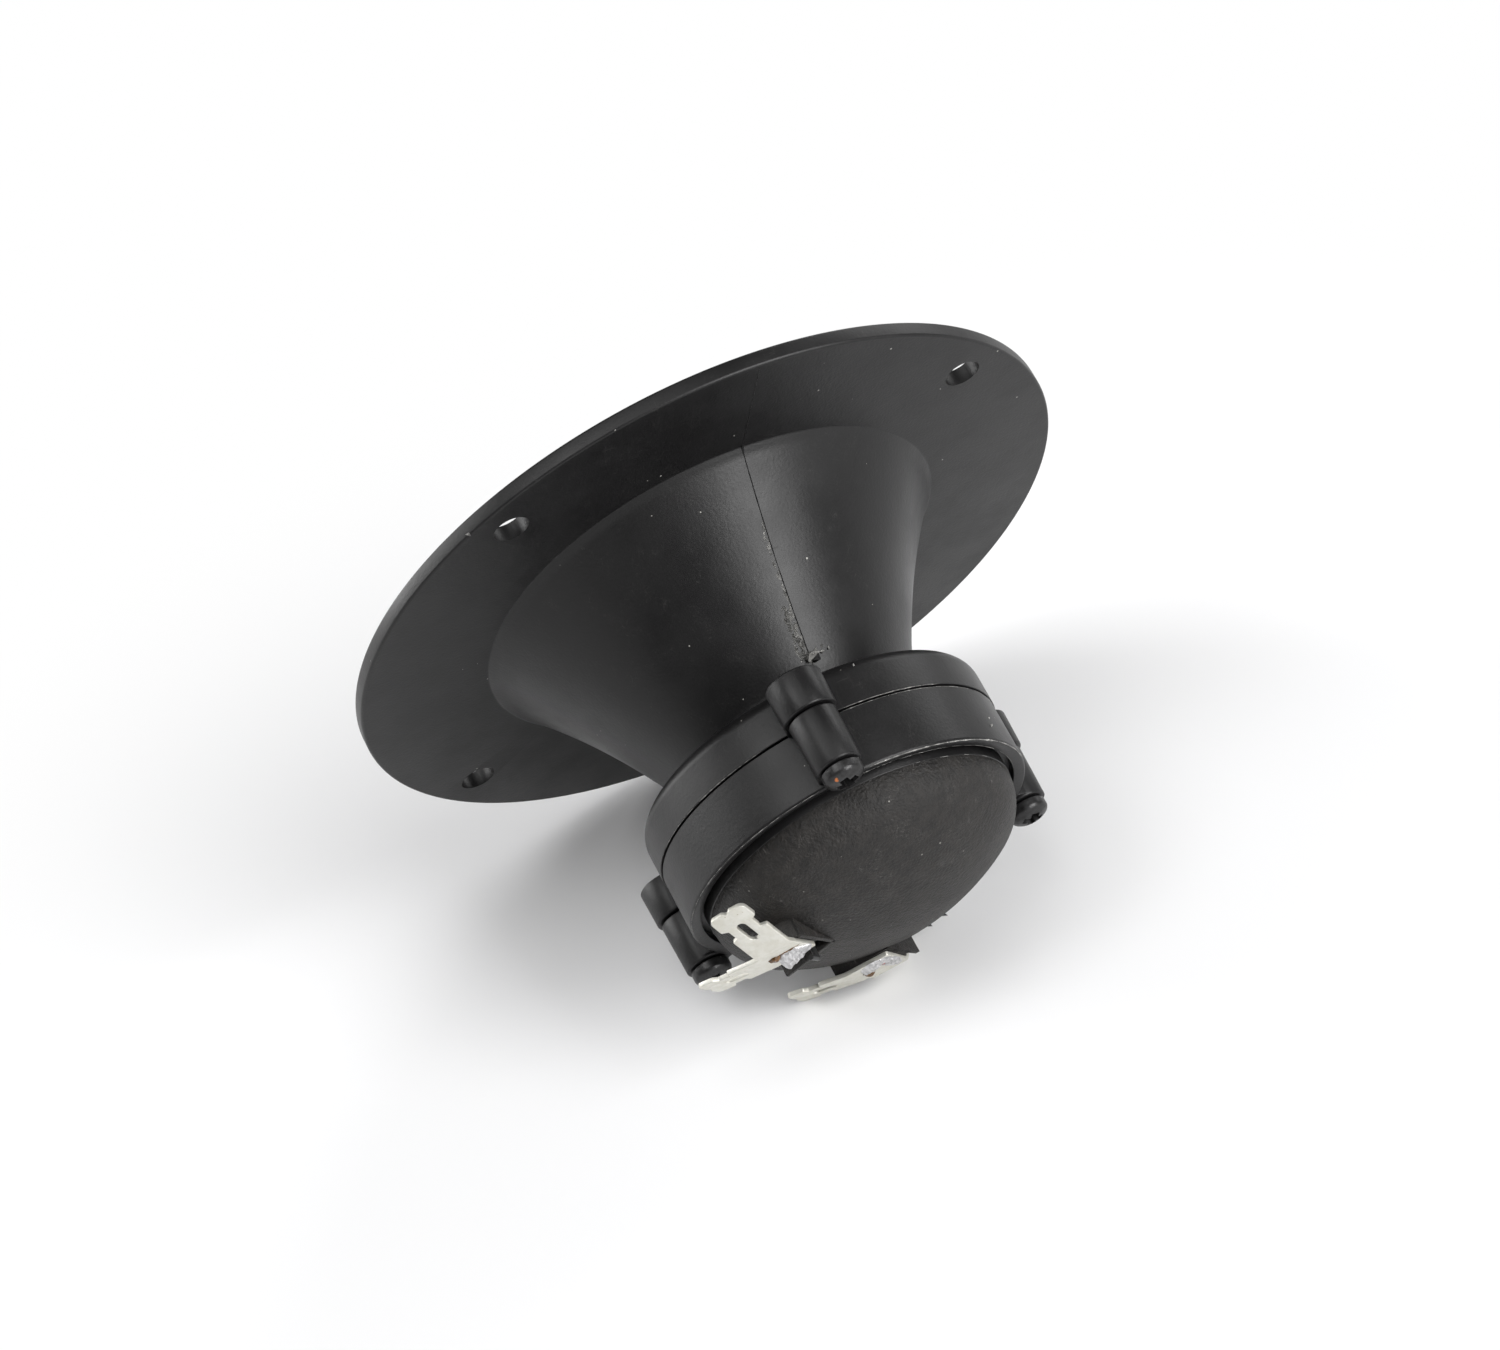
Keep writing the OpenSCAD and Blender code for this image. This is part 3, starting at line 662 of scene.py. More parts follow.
def sleeve(name, r, z0, z1, web_z, wall_r, azimuth, bore, bore_z):
    """One drafted sleeve on its web, bored for its screw."""
    place = turned(azimuth, BOSS_R)
    post = prism(name, disc_outline(r, 64), z0, z1, round_edge=SLEEVE_ROUND)
    for v in post.data.vertices:
        spread = 1 + (SLEEVE_SEAM_Z - v.co.z / MM) * DRAFT / r
        v.co.x *= spread
        v.co.y *= spread
    post.data.transform(place)
    half = r + (SLEEVE_SEAM_Z - max(z1, SLEEVE_SEAM_Z)) * DRAFT - WEB_INSET
    flat = box_outline(wall_r - BOSS_R, -half, 0, half)
    carve(post, [prism("web", flat, z0 + 0.02, web_z, place, WEB_ROUND)], "UNION")
    carve(post, [prism("bore", disc_outline(bore), bore_z, z1 + 1, place)])
    return post


sleeves = []
for i in range(3):
    azimuth = BOSS_AZ + 120 * i
    front = sleeve("horn_sleeve_%d" % (i + 1), SLEEVE_FRONT_R, SLEEVE_FRONT_Z,
                   SLEEVE_SEAM_Z, SLEEVE_SEAM_Z - 0.02, CUP_R - 1, azimuth, PILOT_R, PILOT_Z)
    room = disc_outline(COVER_R + 0.25, 256)
    carve(front, [prism("room", room, SEAM_Z, SLEEVE_SEAM_Z + 1)])
    rear = sleeve("cover_sleeve_%d" % (i + 1), SLEEVE_REAR_R, SLEEVE_COVER_Z, BOSS_TOP_Z,
                  WEB_TOP_Z, COVER_R - 1, azimuth, CLEARANCE_R, SLEEVE_COVER_Z - 1)
    sleeves += [front, rear]
for post in sleeves:
    crease(post)
    piece(post, SATIN)
print("sleeves:", len(sleeves))

# %% [markdown]
# ## Rear cover
# The side wall and ring are one turned shell, the dome another with the rougher skin, split
# in the groove between them so that each has its own finish.

# %% Rear cover
GROOVE_Z = RING_Z - GROOVE_D
SHOULDER_ROUND, RING_ROUND, FOOT_EDGE = 0.45, 0.15, 0.1
groove_r, lip_r = DOME_R + GROOVE_W, DOME_R - 0.6

side = [(COVER_R - SEAM_EDGE, COVER_Z), (COVER_R, COVER_Z + SEAM_EDGE)]
side += arc(COVER_R - SHOULDER_ROUND, SHOULDER_Z - SHOULDER_ROUND, SHOULDER_ROUND, 0, 75, 8)
side += arc(groove_r + RING_ROUND, RING_Z - RING_ROUND, RING_ROUND, 90, 180, 5)
side += [(groove_r, GROOVE_Z), (DOME_R, GROOVE_Z)]
side += arc(DOME_R - FOOT_EDGE, DOME_Z - FOOT_EDGE, FOOT_EDGE, 0, 90, 3)
side += [(lip_r, DOME_Z), (lip_r, GROOVE_Z - 0.85)]
side += [(COVER_R - COVER_WALL, SHOULDER_Z - 2.4), (COVER_R - COVER_WALL, COVER_Z)]
cover = revolve("cover_ring", side)
crease(cover)
piece(cover, SATIN, stands_for=["rear_cover"])
print("cover profile points:", len(side))

# %% [markdown]
# ## Dome
# The dome is a small arc at its edge that runs into a large one over the top, the way a
# turned mould is cut. The opening for the left lead goes through it beside the pads.

# %% Dome
SKIN_STEP = 0.08
OPENING_X, OPENING_Y, OPENING_L, OPENING_W = 6.35, 6.4, 4.4, 2.4
PAD_AZ, PAD_Z = 225, 53.8


def dome_arcs(inset):
    """Profile of the dome from its foot to the axis: the edge arc, then the main arc."""
    edge_x = DOME_R - DOME_EDGE
    crown_r = (edge_x ** 2 + DOME_H ** 2 - DOME_EDGE ** 2) / (2 * (DOME_H - DOME_EDGE))
    centre_z = DOME_Z + DOME_H - crown_r
    join = math.degrees(math.atan2(DOME_Z - centre_z, edge_x))
    points = arc(edge_x, DOME_Z, DOME_EDGE - inset, 0, join, 16)
    points += arc(0, centre_z, crown_r - inset, join, 90, 40)[1:-1]
    return points + [(0, centre_z + crown_r - inset)]


def pad_matrix(right):
    """Frame of a pad: x outward between the pads, y to its side of that line."""
    return turned(PAD_AZ) @ Matrix.Scale(1 if right else -1, 4, (0, 1, 0))


dome_profile = [(DOME_R - SKIN_STEP, DOME_Z - 0.3)] + dome_arcs(SKIN_STEP)
dome_profile += [*reversed(dome_arcs(COVER_WALL)), (DOME_R - COVER_WALL, GROOVE_Z)]
dome = revolve("dome", dome_profile)
outline = box_outline(OPENING_X, OPENING_Y, OPENING_X + OPENING_L, OPENING_Y + OPENING_W)
carve(dome, [prism("opening", outline, DOME_Z - 0.5, PAD_Z + 4.2, pad_matrix(False))])
crease(dome)
piece(dome, MATTE)
print("dome profile points:", len(dome_profile))

# %% [markdown]
# ## Terminal pads
# Each pad is a block that rises out of the dome, between two thin walls. The left terminal
# sits further out on its pad, which leaves the lead's opening free beside it. Neither
# terminal sits quite square, so each has a seat: a place and three small turns, found by
# fitting its corners to the photograph. The block's top follows its terminal's tilt.

# %% Seats
BASE_D, BLADE_W, SHEET, BASE_Z = 5.88, 5.2, 0.6, 53.86
SEATS = {
    "left": {"at": (6.81, 9.14, -0.81), "tilt": (-1.05, 8.0, 0.0), "folds": (5.2, 27.7)},
    "right": {"at": (6.6, 5.97, -0.31), "tilt": (-2.2, 6.9, -7.3), "folds": (8.35, 40.0)},
}


def seat_on_pad(tag):
    """Frame of a terminal's base in its pad's own frame."""
    x, y, z = SEATS[tag]["at"]
    corner = Matrix.Translation(Vector((x, y, BASE_Z + SHEET / 2 + z)) * MM)
    middle = Matrix.Translation(Vector((BLADE_W / 2, BLADE_W / 2, 0)) * MM)
    turn = Euler([radians(a) for a in SEATS[tag]["tilt"]], "XYZ").to_matrix().to_4x4()
    return corner @ middle @ turn @ middle.inverted()


def seat(tag):
    """Frame of a terminal's base in the scene."""
    return pad_matrix(tag == "right") @ seat_on_pad(tag)


print("seats:", {tag: s["tilt"] for tag, s in SEATS.items()})

# %% Pads
PAD_FOOT_Z, PAD_IN, PAD_OUT = 47.5, 5.75, 11.75
PAD_GAP, PAD_W, PAD_WALL, PAD_RIGHT_Y = 5.8, 8.0, 0.6, 11.8
CLEAR, WALL_ROUND = 0.02, 0.12


def pad_block(name, tag, outline):
    """A block of a pad, whose top lies just under the tilted base."""
    block = prism(name, outline, PAD_FOOT_Z, PAD_Z)
    base = seat_on_pad(tag)
    under = base @ Vector((0, 0, -(SHEET / 2 + 0.03) * MM))
    normal = base.to_3x3() @ Vector((0, 0, 1))
    for v in block.data.vertices:
        if v.co.z > (PAD_FOOT_Z + PAD_Z) / 2 * MM:
            fall = normal.x * (v.co.x - under.x) + normal.y * (v.co.y - under.y)
            v.co.z = under.z - fall / normal.z
    block.data.transform(pad_matrix(tag == "right"))
    bm = bmesh.new()
    bm.from_mesh(block.data)
    outward(bm)
    bm.to_mesh(block.data)
    bm.free()
    return block


pads = []
for tag in ("left", "right"):
    right = tag == "right"
    y0 = PAD_GAP + PAD_WALL + CLEAR if right else OPENING_Y + OPENING_W
    y1 = PAD_RIGHT_Y if right else PAD_GAP + PAD_W
    pads.append(pad_block("pad_block_" + tag, tag,
                          box_outline(PAD_IN + CLEAR, y0, PAD_OUT, y1)))
    walls = {
        "pad_wall_near": box_outline(PAD_IN, PAD_GAP, PAD_IN + PAD_W, PAD_GAP + PAD_WALL),
        "pad_wall_inner": box_outline(PAD_IN, PAD_GAP, PAD_IN + PAD_WALL, PAD_GAP + PAD_W),
    }
    for name, outline in walls.items():
        label = "%s_%s" % (name, tag)
        if right:
            pads.append(pad_block(label, tag, outline))
        else:
            pads.append(prism(label, outline, PAD_FOOT_Z, PAD_Z, pad_matrix(right),
                              WALL_ROUND))
for block in pads:
    crease(block)
    piece(block, MATTE)
print("blocks and walls of the pads:", len(pads))

# %% [markdown]
# ## Terminals
# Stamped from sheet: the flat outline is a filled curve with its slots as holes, and the
# curve's own bevel rounds its edges. The mesh is then cut along the fold lines and each
# blade is wrapped round a radius, as the press does it.

# %% Flat sheet
OUT_LEN, SIDE_LEN = 8.76, 8.83
LOBE_LEN, NOTCH_LEN, NOTCH_D = 2.5, 2.2, 0.8
SLOT_INSET, SLOT_LEN, SLOT_HALF = 2.6, 2.1, 0.65
STAMP_ROUND = 0.08


def rounded(corners, count=5):
    """A closed outline from (x, y, radius) corners, each replaced by its arc."""
    out = []
    for i, (x, y, r) in enumerate(corners):
        p = Vector((x, y))
        a = (Vector(corners[i - 1][:2]) - p).normalized()
        b = (Vector(corners[(i + 1) % len(corners)][:2]) - p).normalized()
        angle = a.angle(b)
        if r <= 0 or abs(angle - pi) < 1e-3:
            out.append(tuple(p))
            continue
        cut = r / math.tan(angle / 2)
        centre = p + (a + b).normalized() * (r / sin(angle / 2))
        start, stop = p + a * cut - centre, p + b * cut - centre
        for k in range(count + 1):
            v = start.lerp(stop, k / count)
            out.append(tuple(centre + v.normalized() * r))
    return out


def blade_end(length):
    """End of a blade along x, from +y round to -y, as (x, y, corner radius)."""
    w = BLADE_W / 2
    tip = BASE_D + length
    neck = tip - LOBE_LEN - NOTCH_LEN
    lobe = neck + NOTCH_LEN
    half = [(neck, w, 0.2), (neck + 0.25, w - NOTCH_D - 0.15, 0.15),
            (neck + 0.55, w - NOTCH_D, 0.1), (lobe - 0.4, w - NOTCH_D, 0.15),
            (lobe, w, 0.3), (tip - 0.1, w - 0.05, 0.8), (tip, 0.55, 0.35),
            (tip - 0.45, 0.0, 0.2)]
    return half + [(x, -y, r) for x, y, r in reversed(half[:-1])]


def sheet_outlines():
    """Outlines of the unfolded sheet: its edge, then the slot in each blade."""
    mid = BLADE_W / 2
    out_end = [(x, y + mid, r) for x, y, r in blade_end(OUT_LEN)]
    side_end = [(mid - y, x, r) for x, y, r in blade_end(SIDE_LEN)]
    walk = [(0, 0, 0.3), (BASE_D, 0, 0), *reversed(out_end)]
    walk += [(BLADE_W, BLADE_W, 0.25), *reversed(side_end)]
    loops = [rounded(walk)]
    for length, swap in ((OUT_LEN, False), (SIDE_LEN, True)):
        x1 = BASE_D + length - SLOT_INSET - SLOT_HALF
        slot = arc(x1, mid, SLOT_HALF, -90, 90) + arc(x1 - SLOT_LEN, mid, SLOT_HALF, 90, 270)
        loops.append([(y, x) if swap else (x, y) for x, y in slot])
    return loops


def flat_terminal(name):
    """The unfolded sheet as a mesh, outward blade along x and side blade along y."""
    curve = bpy.data.curves.new(name, "CURVE")
    curve.dimensions = "2D"
    curve.fill_mode = "BOTH"
    curve.extrude = (SHEET / 2 - STAMP_ROUND) * MM
    curve.bevel_depth = STAMP_ROUND * MM
    curve.bevel_resolution = 2
    curve.offset = -STAMP_ROUND * MM
    for points in sheet_outlines():
        spline = curve.splines.new("POLY")
        spline.points.add(len(points) - 1)
        for point, (x, y) in zip(spline.points, points):
            point.co = (x * MM, y * MM, 0, 1)
        spline.use_cyclic_u = True
    holder = linked(name, curve)
    mesh = evaluated(holder)
    bpy.data.objects.remove(holder)
    return mesh


print("outline points:", [len(points) for points in sheet_outlines()])

# %% Folded terminals
BEND_OUT, BEND_SIDE = 4.0, 0.9
FOLD_CUTS, FOLD_PITCH, RIPPLE = 6, 0.15, 0.03


def fold(v, axis, slope, radius):
    """Wraps a point past the edge of the base round a radius and on down the slope."""
    start, radius = BASE_D * MM, radius * MM
    s = v[axis] - start
    if s <= 0:
        return v
    turn_len = radians(slope) * radius
    angle = min(s / turn_len, 1) * radians(slope)
    rest = max(s - turn_len, 0)
    out = Vector(v)
    out[axis] = start + (radius + v.z) * sin(angle) + rest * cos(angle)
    out.z = (radius + v.z) * cos(angle) - radius - rest * sin(angle)
    return out


def terminal(tag):
    """A folded terminal on its seat, a little rippled by the press."""
    bm = bmesh.new()
    bm.from_mesh(flat_terminal("terminal_sheet_" + tag))
    bmesh.ops.remove_doubles(bm, verts=bm.verts, dist=1e-7)
    for axis in (0, 1):
        normal = Vector((0, 0, 0))
        normal[axis] = 1
        for i in range(FOLD_CUTS):
            everything = bm.verts[:] + bm.edges[:] + bm.faces[:]
            at = normal * ((BASE_D + FOLD_PITCH * i) * MM)
            bmesh.ops.bisect_plane(bm, geom=everything, plane_co=at, plane_no=normal)
    slopes = SEATS[tag]["folds"]
    for v in bm.verts:
        co = Vector(v.co)
        if co.x > BASE_D * MM:
            co = fold(co, 0, slopes[0], BEND_OUT)
        elif co.y > BASE_D * MM:
            co = fold(co, 1, slopes[1], BEND_SIDE)
        v.co = co + Vector((0, 0, noise.noise(co * 400) * RIPPLE * MM))
    bm.transform(seat(tag))
    return solid("terminal_sheet_" + tag, bm, 40)


for tag in ("left", "right"):
    sheet = terminal(tag)
    piece(sheet, TIN, stands_for=["terminal_" + tag])
    print("terminal", tag, "faces:", len(sheet.data.polygons))

# %% [markdown]
# ## Solder and flux
# A lump wets the base with a thin skirt and stands up round the lead's end. Its height is
# the highest of a few smooth bumps, roughened with noise at two scales. Brown flux is left
# beside it in small flat lumps of the same kind.

# %% Solder and flux
LUMP_RINGS, LUMP_SIDES, SKIRT = 20, 84, 0.12


def waver(x, y, z):
    """Smooth noise from about -1 to 1 at a place."""
    return noise.noise(Vector((x, y, z)))


def lump_height(x, y, f, bumps, seed, rough):
    """Height of a lump at a place, where f runs from 0 in the middle to 1 at the edge."""
    height = SKIRT * (1 - f ** 4)
    for bx, by, br, bh in bumps:
        d = math.hypot(x - bx, y - by) / br
        height = max(height, bh * max(0, 1 - d * d) ** 0.6)
    swell = 0.26 * waver(x * 1.5, y * 1.5, seed + 3)
    creases = 0.22 * abs(waver(x * 3.1, y * 3.1, seed + 7))
    return max(height + rough * (swell - creases), 0.01) * (1 - f ** 8)


def lump(name, tag, middle, reach, bumps, seed, rough=1.0):
    """A lump on a terminal's base: a polar grid over an uneven oval."""
    bm = bmesh.new()
    grid = []
    for i in range(LUMP_RINGS + 1):
        f = i / LUMP_RINGS
        row = []
        for k in range(LUMP_SIDES):
            a = 2 * pi * k / LUMP_SIDES
            edge = 1 + 0.22 * waver(cos(a) * 1.4, sin(a) * 1.4, seed)
            x = middle[0] + reach[0] * edge * f * cos(a)
            y = middle[1] + reach[1] * edge * f * sin(a)
            z = lump_height(x, y, f, bumps, seed, rough) if f < 1 else -0.05
            row.append(vert(bm, x, y, SHEET / 2 + z))
        grid.append(row)
    skin(bm, grid, ends=[-1])
    bmesh.ops.remove_doubles(bm, verts=bm.verts, dist=1e-7)
    bm.transform(seat(tag))
    return solid(name, bm, 30)


# For each lump: middle, reach, bumps as (x, y, radius, height), seed.
mounds = {
    "solder_mound_left": ((2.45, 1.55), (2.4, 1.6), (
        (1.0, 1.4, 2.0, 0.5), (3.0, 1.0, 1.8, 0.95), (4.2, 0.7, 1.3, 1.45),
        (3.9, 2.4, 1.0, 0.6)), 1.0),
    "solder_mound_right": ((2.2, 1.3), (2.35, 1.4), (
        (1.2, 1.0, 1.3, 0.35), (3.0, 1.1, 1.4, 0.6), (3.9, 1.3, 0.8, 0.75)), 5.0),
    "solder_run_right": ((0.95, 3.0), (1.15, 2.4), (
        (0.8, 2.2, 1.0, 0.35), (0.9, 4.0, 1.1, 0.3)), 9.0),
}
for name, values in mounds.items():
    tag = name.split("_")[-1]
    stands_for = ["terminal_solder_" + tag] if "mound" in name else []
    piece(lump(name, tag, *values), SOLDER, stands_for=stands_for)
# For each patch of flux: middle, reach, height.
flux = {
    "flux_left": ((4.35, 3.05), (0.85, 0.55), 0.5),
    "flux_edge_left": ((2.3, 3.3), (2.1, 0.14), 0.12),
    "flux_right": ((4.0, 2.7), (1.1, 0.6), 0.65),
}
for name, (middle, reach, height) in flux.items():
    bumps = [(*middle, 0.8, height)]
    piece(lump(name, name.split("_")[-1], middle, reach, bumps, 2.0, 0.8), FLUX)
print("solder lumps:", len(mounds), "flux lumps:", len(flux))

# %% [markdown]
# ## Screws
# Pan-head tapping screws with a cross recess. The head is turned, the recess is carved with
# tapered wings and a round well, and the shank carries a thread as a stack of sharp rings.

# %% Screws
HEAD_R, HEAD_H, HEAD_SIDE, HEAD_Z, HEAD_EDGE = 2.55, 2.1, 0.95, BOSS_TOP_Z + 0.2, 0.15
SHANK_R, BODY_R, CORE_R, CREST_R = 1.36, 1.1, 0.9, 1.14
TIP_Z, THREAD_Z, SHANK_Z = 32.6, 33.3, 36.2
THREAD_TURNS, PITCH, CREST_UP = 6, 0.45, 0.22
WING_D, WELL_R, WELL_D = 2.4, 0.7, 1.7
SPINS = (20, 55, 5)


def screw_profile():
    """Profile of a screw from its tip over the thread to the top of its head."""
    points = [(0, TIP_Z), (0.5, TIP_Z), (BODY_R, TIP_Z + 0.6)]
    for i in range(THREAD_TURNS):
        z = THREAD_Z + PITCH * i
        points += [(CORE_R, z), (CREST_R, z + CREST_UP)]
    points += [(BODY_R, SHANK_Z), (SHANK_R, SHANK_Z + 0.4), (SHANK_R, HEAD_Z)]
    rim_z = HEAD_Z + HEAD_SIDE
    points += [(HEAD_R - HEAD_EDGE, HEAD_Z), (HEAD_R, HEAD_Z + HEAD_EDGE), (HEAD_R, rim_z)]
    for degrees in range(10, 90, 8):
        a = radians(degrees)
        points.append((HEAD_R * cos(a), rim_z + (HEAD_H - HEAD_SIDE) * sin(a)))
    return points + [(0, HEAD_Z + HEAD_H)]


def screw(name, azimuth, spin):
    """One screw in its sleeve."""
    obj = revolve(name, screw_profile(), 64, closed=False)
    top = HEAD_Z + HEAD_H
    recess = []
    for k in range(2):
        bm = bmesh.new()
        for z, half_l, half_w in ((top - WING_D, 0.75, 0.4), (top + 0.3, 1.5, 0.6)):
            for x, y in box_outline(-half_l, -half_w, half_l, half_w):
                vert(bm, x, y, z)
        bmesh.ops.convex_hull(bm, input=bm.verts)
        bm.transform(turned(spin + 90 * k))
        outward(bm)
        recess.append(mesh_object("wing", bm))
    recess.append(prism("well", disc_outline(WELL_R, 32), top - WELL_D, top + 1))
    carve(obj, recess)
    obj.data.transform(turned(azimuth, BOSS_R))
    crease(obj, 35)
    return obj


for i, spin in enumerate(SPINS):
    head = screw("pan_screw_%d" % (i + 1), BOSS_AZ + 120 * i, spin)
    piece(head, SCREW, stands_for=["screw_%d" % (i + 1)])
print("screws:", len(SPINS))

# %% [markdown]
# ## Parting line
# The mould's halves meet in a plane through the axis and leave a fine ridge across the
# flange and down the flare. It is thin and uneven, so it is a three-sided strip along the
# profile whose height and width waver.

# %% Parting line
def ridge(name, azimuth, points, width, height):
    """A fine three-sided ridge along profile points."""
    bm = bmesh.new()
    rows = []
    for i, (r, z) in enumerate(points):
        a, b = points[max(i - 1, 0)], points[min(i + 1, len(points) - 1)]
        along = Vector((b[0] - a[0], b[1] - a[1])).normalized()
        out = Vector((-along.y, along.x))
        if out.x + out.y < 0:
            out = -out
        wobble = 1 + 0.5 * waver(r * 0.8, z * 0.8, azimuth)
        foot = Vector((r, z)) - out * 0.05
        peak = Vector((r, z)) + out * height * wobble
        w = width * wobble / 2
        section = ((foot.x, -w, foot.y), (peak.x, 0, peak.y), (foot.x, w, foot.y))
        rows.append([vert(bm, *place) for place in section])
    skin(bm, rows, ends=(0, -1))
    bm.transform(turned(azimuth))
    return solid(name, bm, 40)


path = [(FLANGE_R - 0.5 - 16 * i / 24, FLANGE_Z) for i in range(25)]
path += flare_run(FLANGE_Z + 0.6, NECK_Z, 0, 48)
for azimuth in (90, 270):
    name = "parting_line_%d" % azimuth
    piece(ridge(name, azimuth, path, 0.22, 0.07), SATIN)
print("parting line points:", len(path))

# %% [markdown]
# ## Torn flash and painted highlight
# Plastic crept out beside the parting line and tore, more so towards the neck. A grid laid
# on the flare itself follows it exactly, rises and dips by noise, and is given a thickness.
# The strips' pale finish is partly torn flash and partly a painted highlight: the streak
# left of the parting line is a painted reflection of a lamp.

# %% Torn flash
FLASH_ACROSS, FLASH_PITCH = 14, 0.12


def flash(name, z0, z1, wide, thick, seed):
    """A thin torn strip on the flare, beside the parting line."""
    bm = bmesh.new()
    down = int((z1 - z0) / FLASH_PITCH)
    rows = []
    for i in range(down + 1):
        z = z0 + (z1 - z0) * i / down
        ends = min(1, 6 * i / down, 6 * (1 - i / down))
        row = []
        for k in range(FLASH_ACROSS + 1):
            t = k / FLASH_ACROSS
            x = -0.08 - wide * t
            edge = min(1, 4 * (1 - t))
            torn = 0.35 + waver(x * 2.6, z * 1.6, seed) + 0.6 * waver(x * 6, z * 5, seed + 4)
            r = flare_at(z) - 0.03 + max(thick * ends * edge * torn, -0.02)
            row.append(vert(bm, x, math.sqrt(r * r - x * x), z))
        rows.append(row)
    skin(bm, rows, loop=False)
    bmesh.ops.solidify(bm, geom=bm.faces[:], thickness=0.12 * MM)
    return solid(name, bm, 30)


# Pale strips: partly torn flash, partly a painted highlight beside the parting line.
strips = {
    "flash_streak": (9.5, 19.6, 0.6, 0.1, 2.0),
    "flash_patch": (18.8, 25.6, 1.5, 0.28, 6.0),
}
for name, values in strips.items():
    piece(flash(name, *values), TORN_AND_HIGHLIGHT)
print("flash strips:", len(strips))

# %% [markdown]
# ## Ragged lips and painted edge highlights
# The edges at the seam, shoulder, groove and dome's foot carry lips as fine as a hair. Each
# is a thin thread along part of a circle, and it fades out where its noise runs low. The
# threads are pale: partly ragged flash, partly a painted highlight along each edge.

# %% Ragged lips
LIP_PITCH, LIP_FADE = 0.14, 12


def hairline(name, r, z, az0, az1, width, seed, broken=0.0):
    """A fine ragged lip along part of a circle."""
    count = int(radians(az1 - az0) * r / LIP_PITCH)
    bm = bmesh.new()
    rows = []
    for i in range(count + 1):
        a = radians(az0 + (az1 - az0) * i / count)
        s = i * LIP_PITCH
        ends = min(1, i / LIP_FADE, (count - i) / LIP_FADE)
        swell = 0.7 + 0.9 * waver(s * 0.5, seed, 0) + 0.5 * waver(s * 2.3, seed, 5) - broken
        size = width * ends * min(max(swell, 0), 1.3) + 0.004
        row = []
        for dr, dz in ((1, 0), (0, 1), (-1, 0), (0, -1)):
            lip_r = r + 0.03 * waver(s * 0.8, seed, 9) + dr * size
            row.append(vert(bm, lip_r * cos(a), lip_r * sin(a), z + dz * size))
        rows.append(row)
    skin(bm, rows, ends=(0, -1))
    outward(bm)
    return mesh_object(name, bm)


# Pale threads: partly ragged flash, partly painted highlight lines along the edges.
lips_and_painted_highlights = {
    "seam_lip": (CUP_R - 0.02, SEAM_Z, 60, 95, 0.07, 1.0, 0.1),
    "seam_lip_cover": (COVER_R, COVER_Z + 0.08, -60, 96, 0.05, 2.0, 0.3),
    "seam_lip_left": (CUP_R - 0.02, SEAM_Z, 122, 178, 0.08, 3.0, 0.35),
    "shoulder_lip": (COVER_R - 0.12, SHOULDER_Z - 0.1, 22, 97, 0.12, 4.0, 0.1),
    "shoulder_lip_left": (COVER_R - 0.12, SHOULDER_Z - 0.1, 113, 196, 0.07, 5.0, 0.4),
    "groove_lip": (DOME_R + GROOVE_W + 0.08, RING_Z - 0.03, 14, 106, 0.06, 6.0, 0.2),
    "dome_foot_lip": (DOME_R - 0.05, DOME_Z - 0.05, 20, 84, 0.06, 7.0, 0.5),
}
for name, values in lips_and_painted_highlights.items():
    piece(hairline(name, *values), TORN_AND_HIGHLIGHT)
print("lips:", len(lips_and_painted_highlights))

# %% [markdown]
# ## Gate stub and scraps
# The plastic was let in beside the neck and broken off there, which left a stub and crumbs.
# A crumb is the hull of a few scattered points, which has flat broken faces. The pale stub
# and crumbs are partly torn plastic and partly painted highlight spots.

# %% Gate stub and scraps
def crumb(name, at, size, seed):
    """A torn scrap of plastic: the hull of a few scattered points."""
    bm = bmesh.new()
    for k in range(9):
        off = [waver(k * 3.7 + c * 11.3, seed, 0.5) * 2 * size[c] for c in range(3)]
        vert(bm, *(Vector(at) + Vector(off)))
    bmesh.ops.convex_hull(bm, input=bm.verts)
    loose = [v for v in bm.verts if not v.link_faces]
    bmesh.ops.delete(bm, geom=loose, context="VERTS")
    outward(bm)
    return mesh_object(name, bm)


# The pale stub is partly torn plastic, partly a painted highlight on the knob.
stub = crumb("gate_stub", (-0.1, 17.2, 25.3), (1.0, 0.9, 0.9), 3.0)
piece(stub, TORN_AND_HIGHLIGHT)
stub = crumb("gate_stub_dark", (0.8, 17.0, 25.4), (0.9, 0.8, 0.8), 4.0)
piece(stub, SATIN)
dark_scraps = ((8.1, -12.9, 51.4), (9.8, -11.5, 51.4))
for i, at in enumerate(dark_scraps):
    scrap = crumb("dark_scrap_%d" % (i + 1), at, (0.5, 0.4, 0.3), 30.0 + i)
    piece(scrap, SATIN)
# Pale crumbs: partly chips and torn scraps, partly painted highlight spots.
scraps = (
    ((0.9, 17.1, 24.6), 0.32), ((2.0, 17.1, 24.4), 0.25), ((2.6, 16.8, 24.9), 0.22),
    ((1.6, 17.0, 25.1), 0.22), ((2.0, 22.7, 31.1), 0.22), ((6.3, 21.9, 33.5), 0.16),
    ((12.7, 18.9, 32.9), 0.14), ((16.9, 15.3, 31.1), 0.3), ((16.9, 15.3, 40.4), 0.26),
    ((16.5, 15.8, 41.6), 0.2), ((16.4, 11.8, 45.2), 0.3), ((15.7, 9.3, 48.8), 0.22),
    ((-0.4, 18.7, 48.4), 0.2), ((10.2, 9.5, 51.4), 0.18), ((-35.8, 31.9, 2.45), 0.3),
)
for i, (at, size) in enumerate(scraps):
    scrap = crumb("scrap_%02d" % (i + 1), at, (size, size, size), 10.0 + i)
    piece(scrap, TORN_AND_HIGHLIGHT)
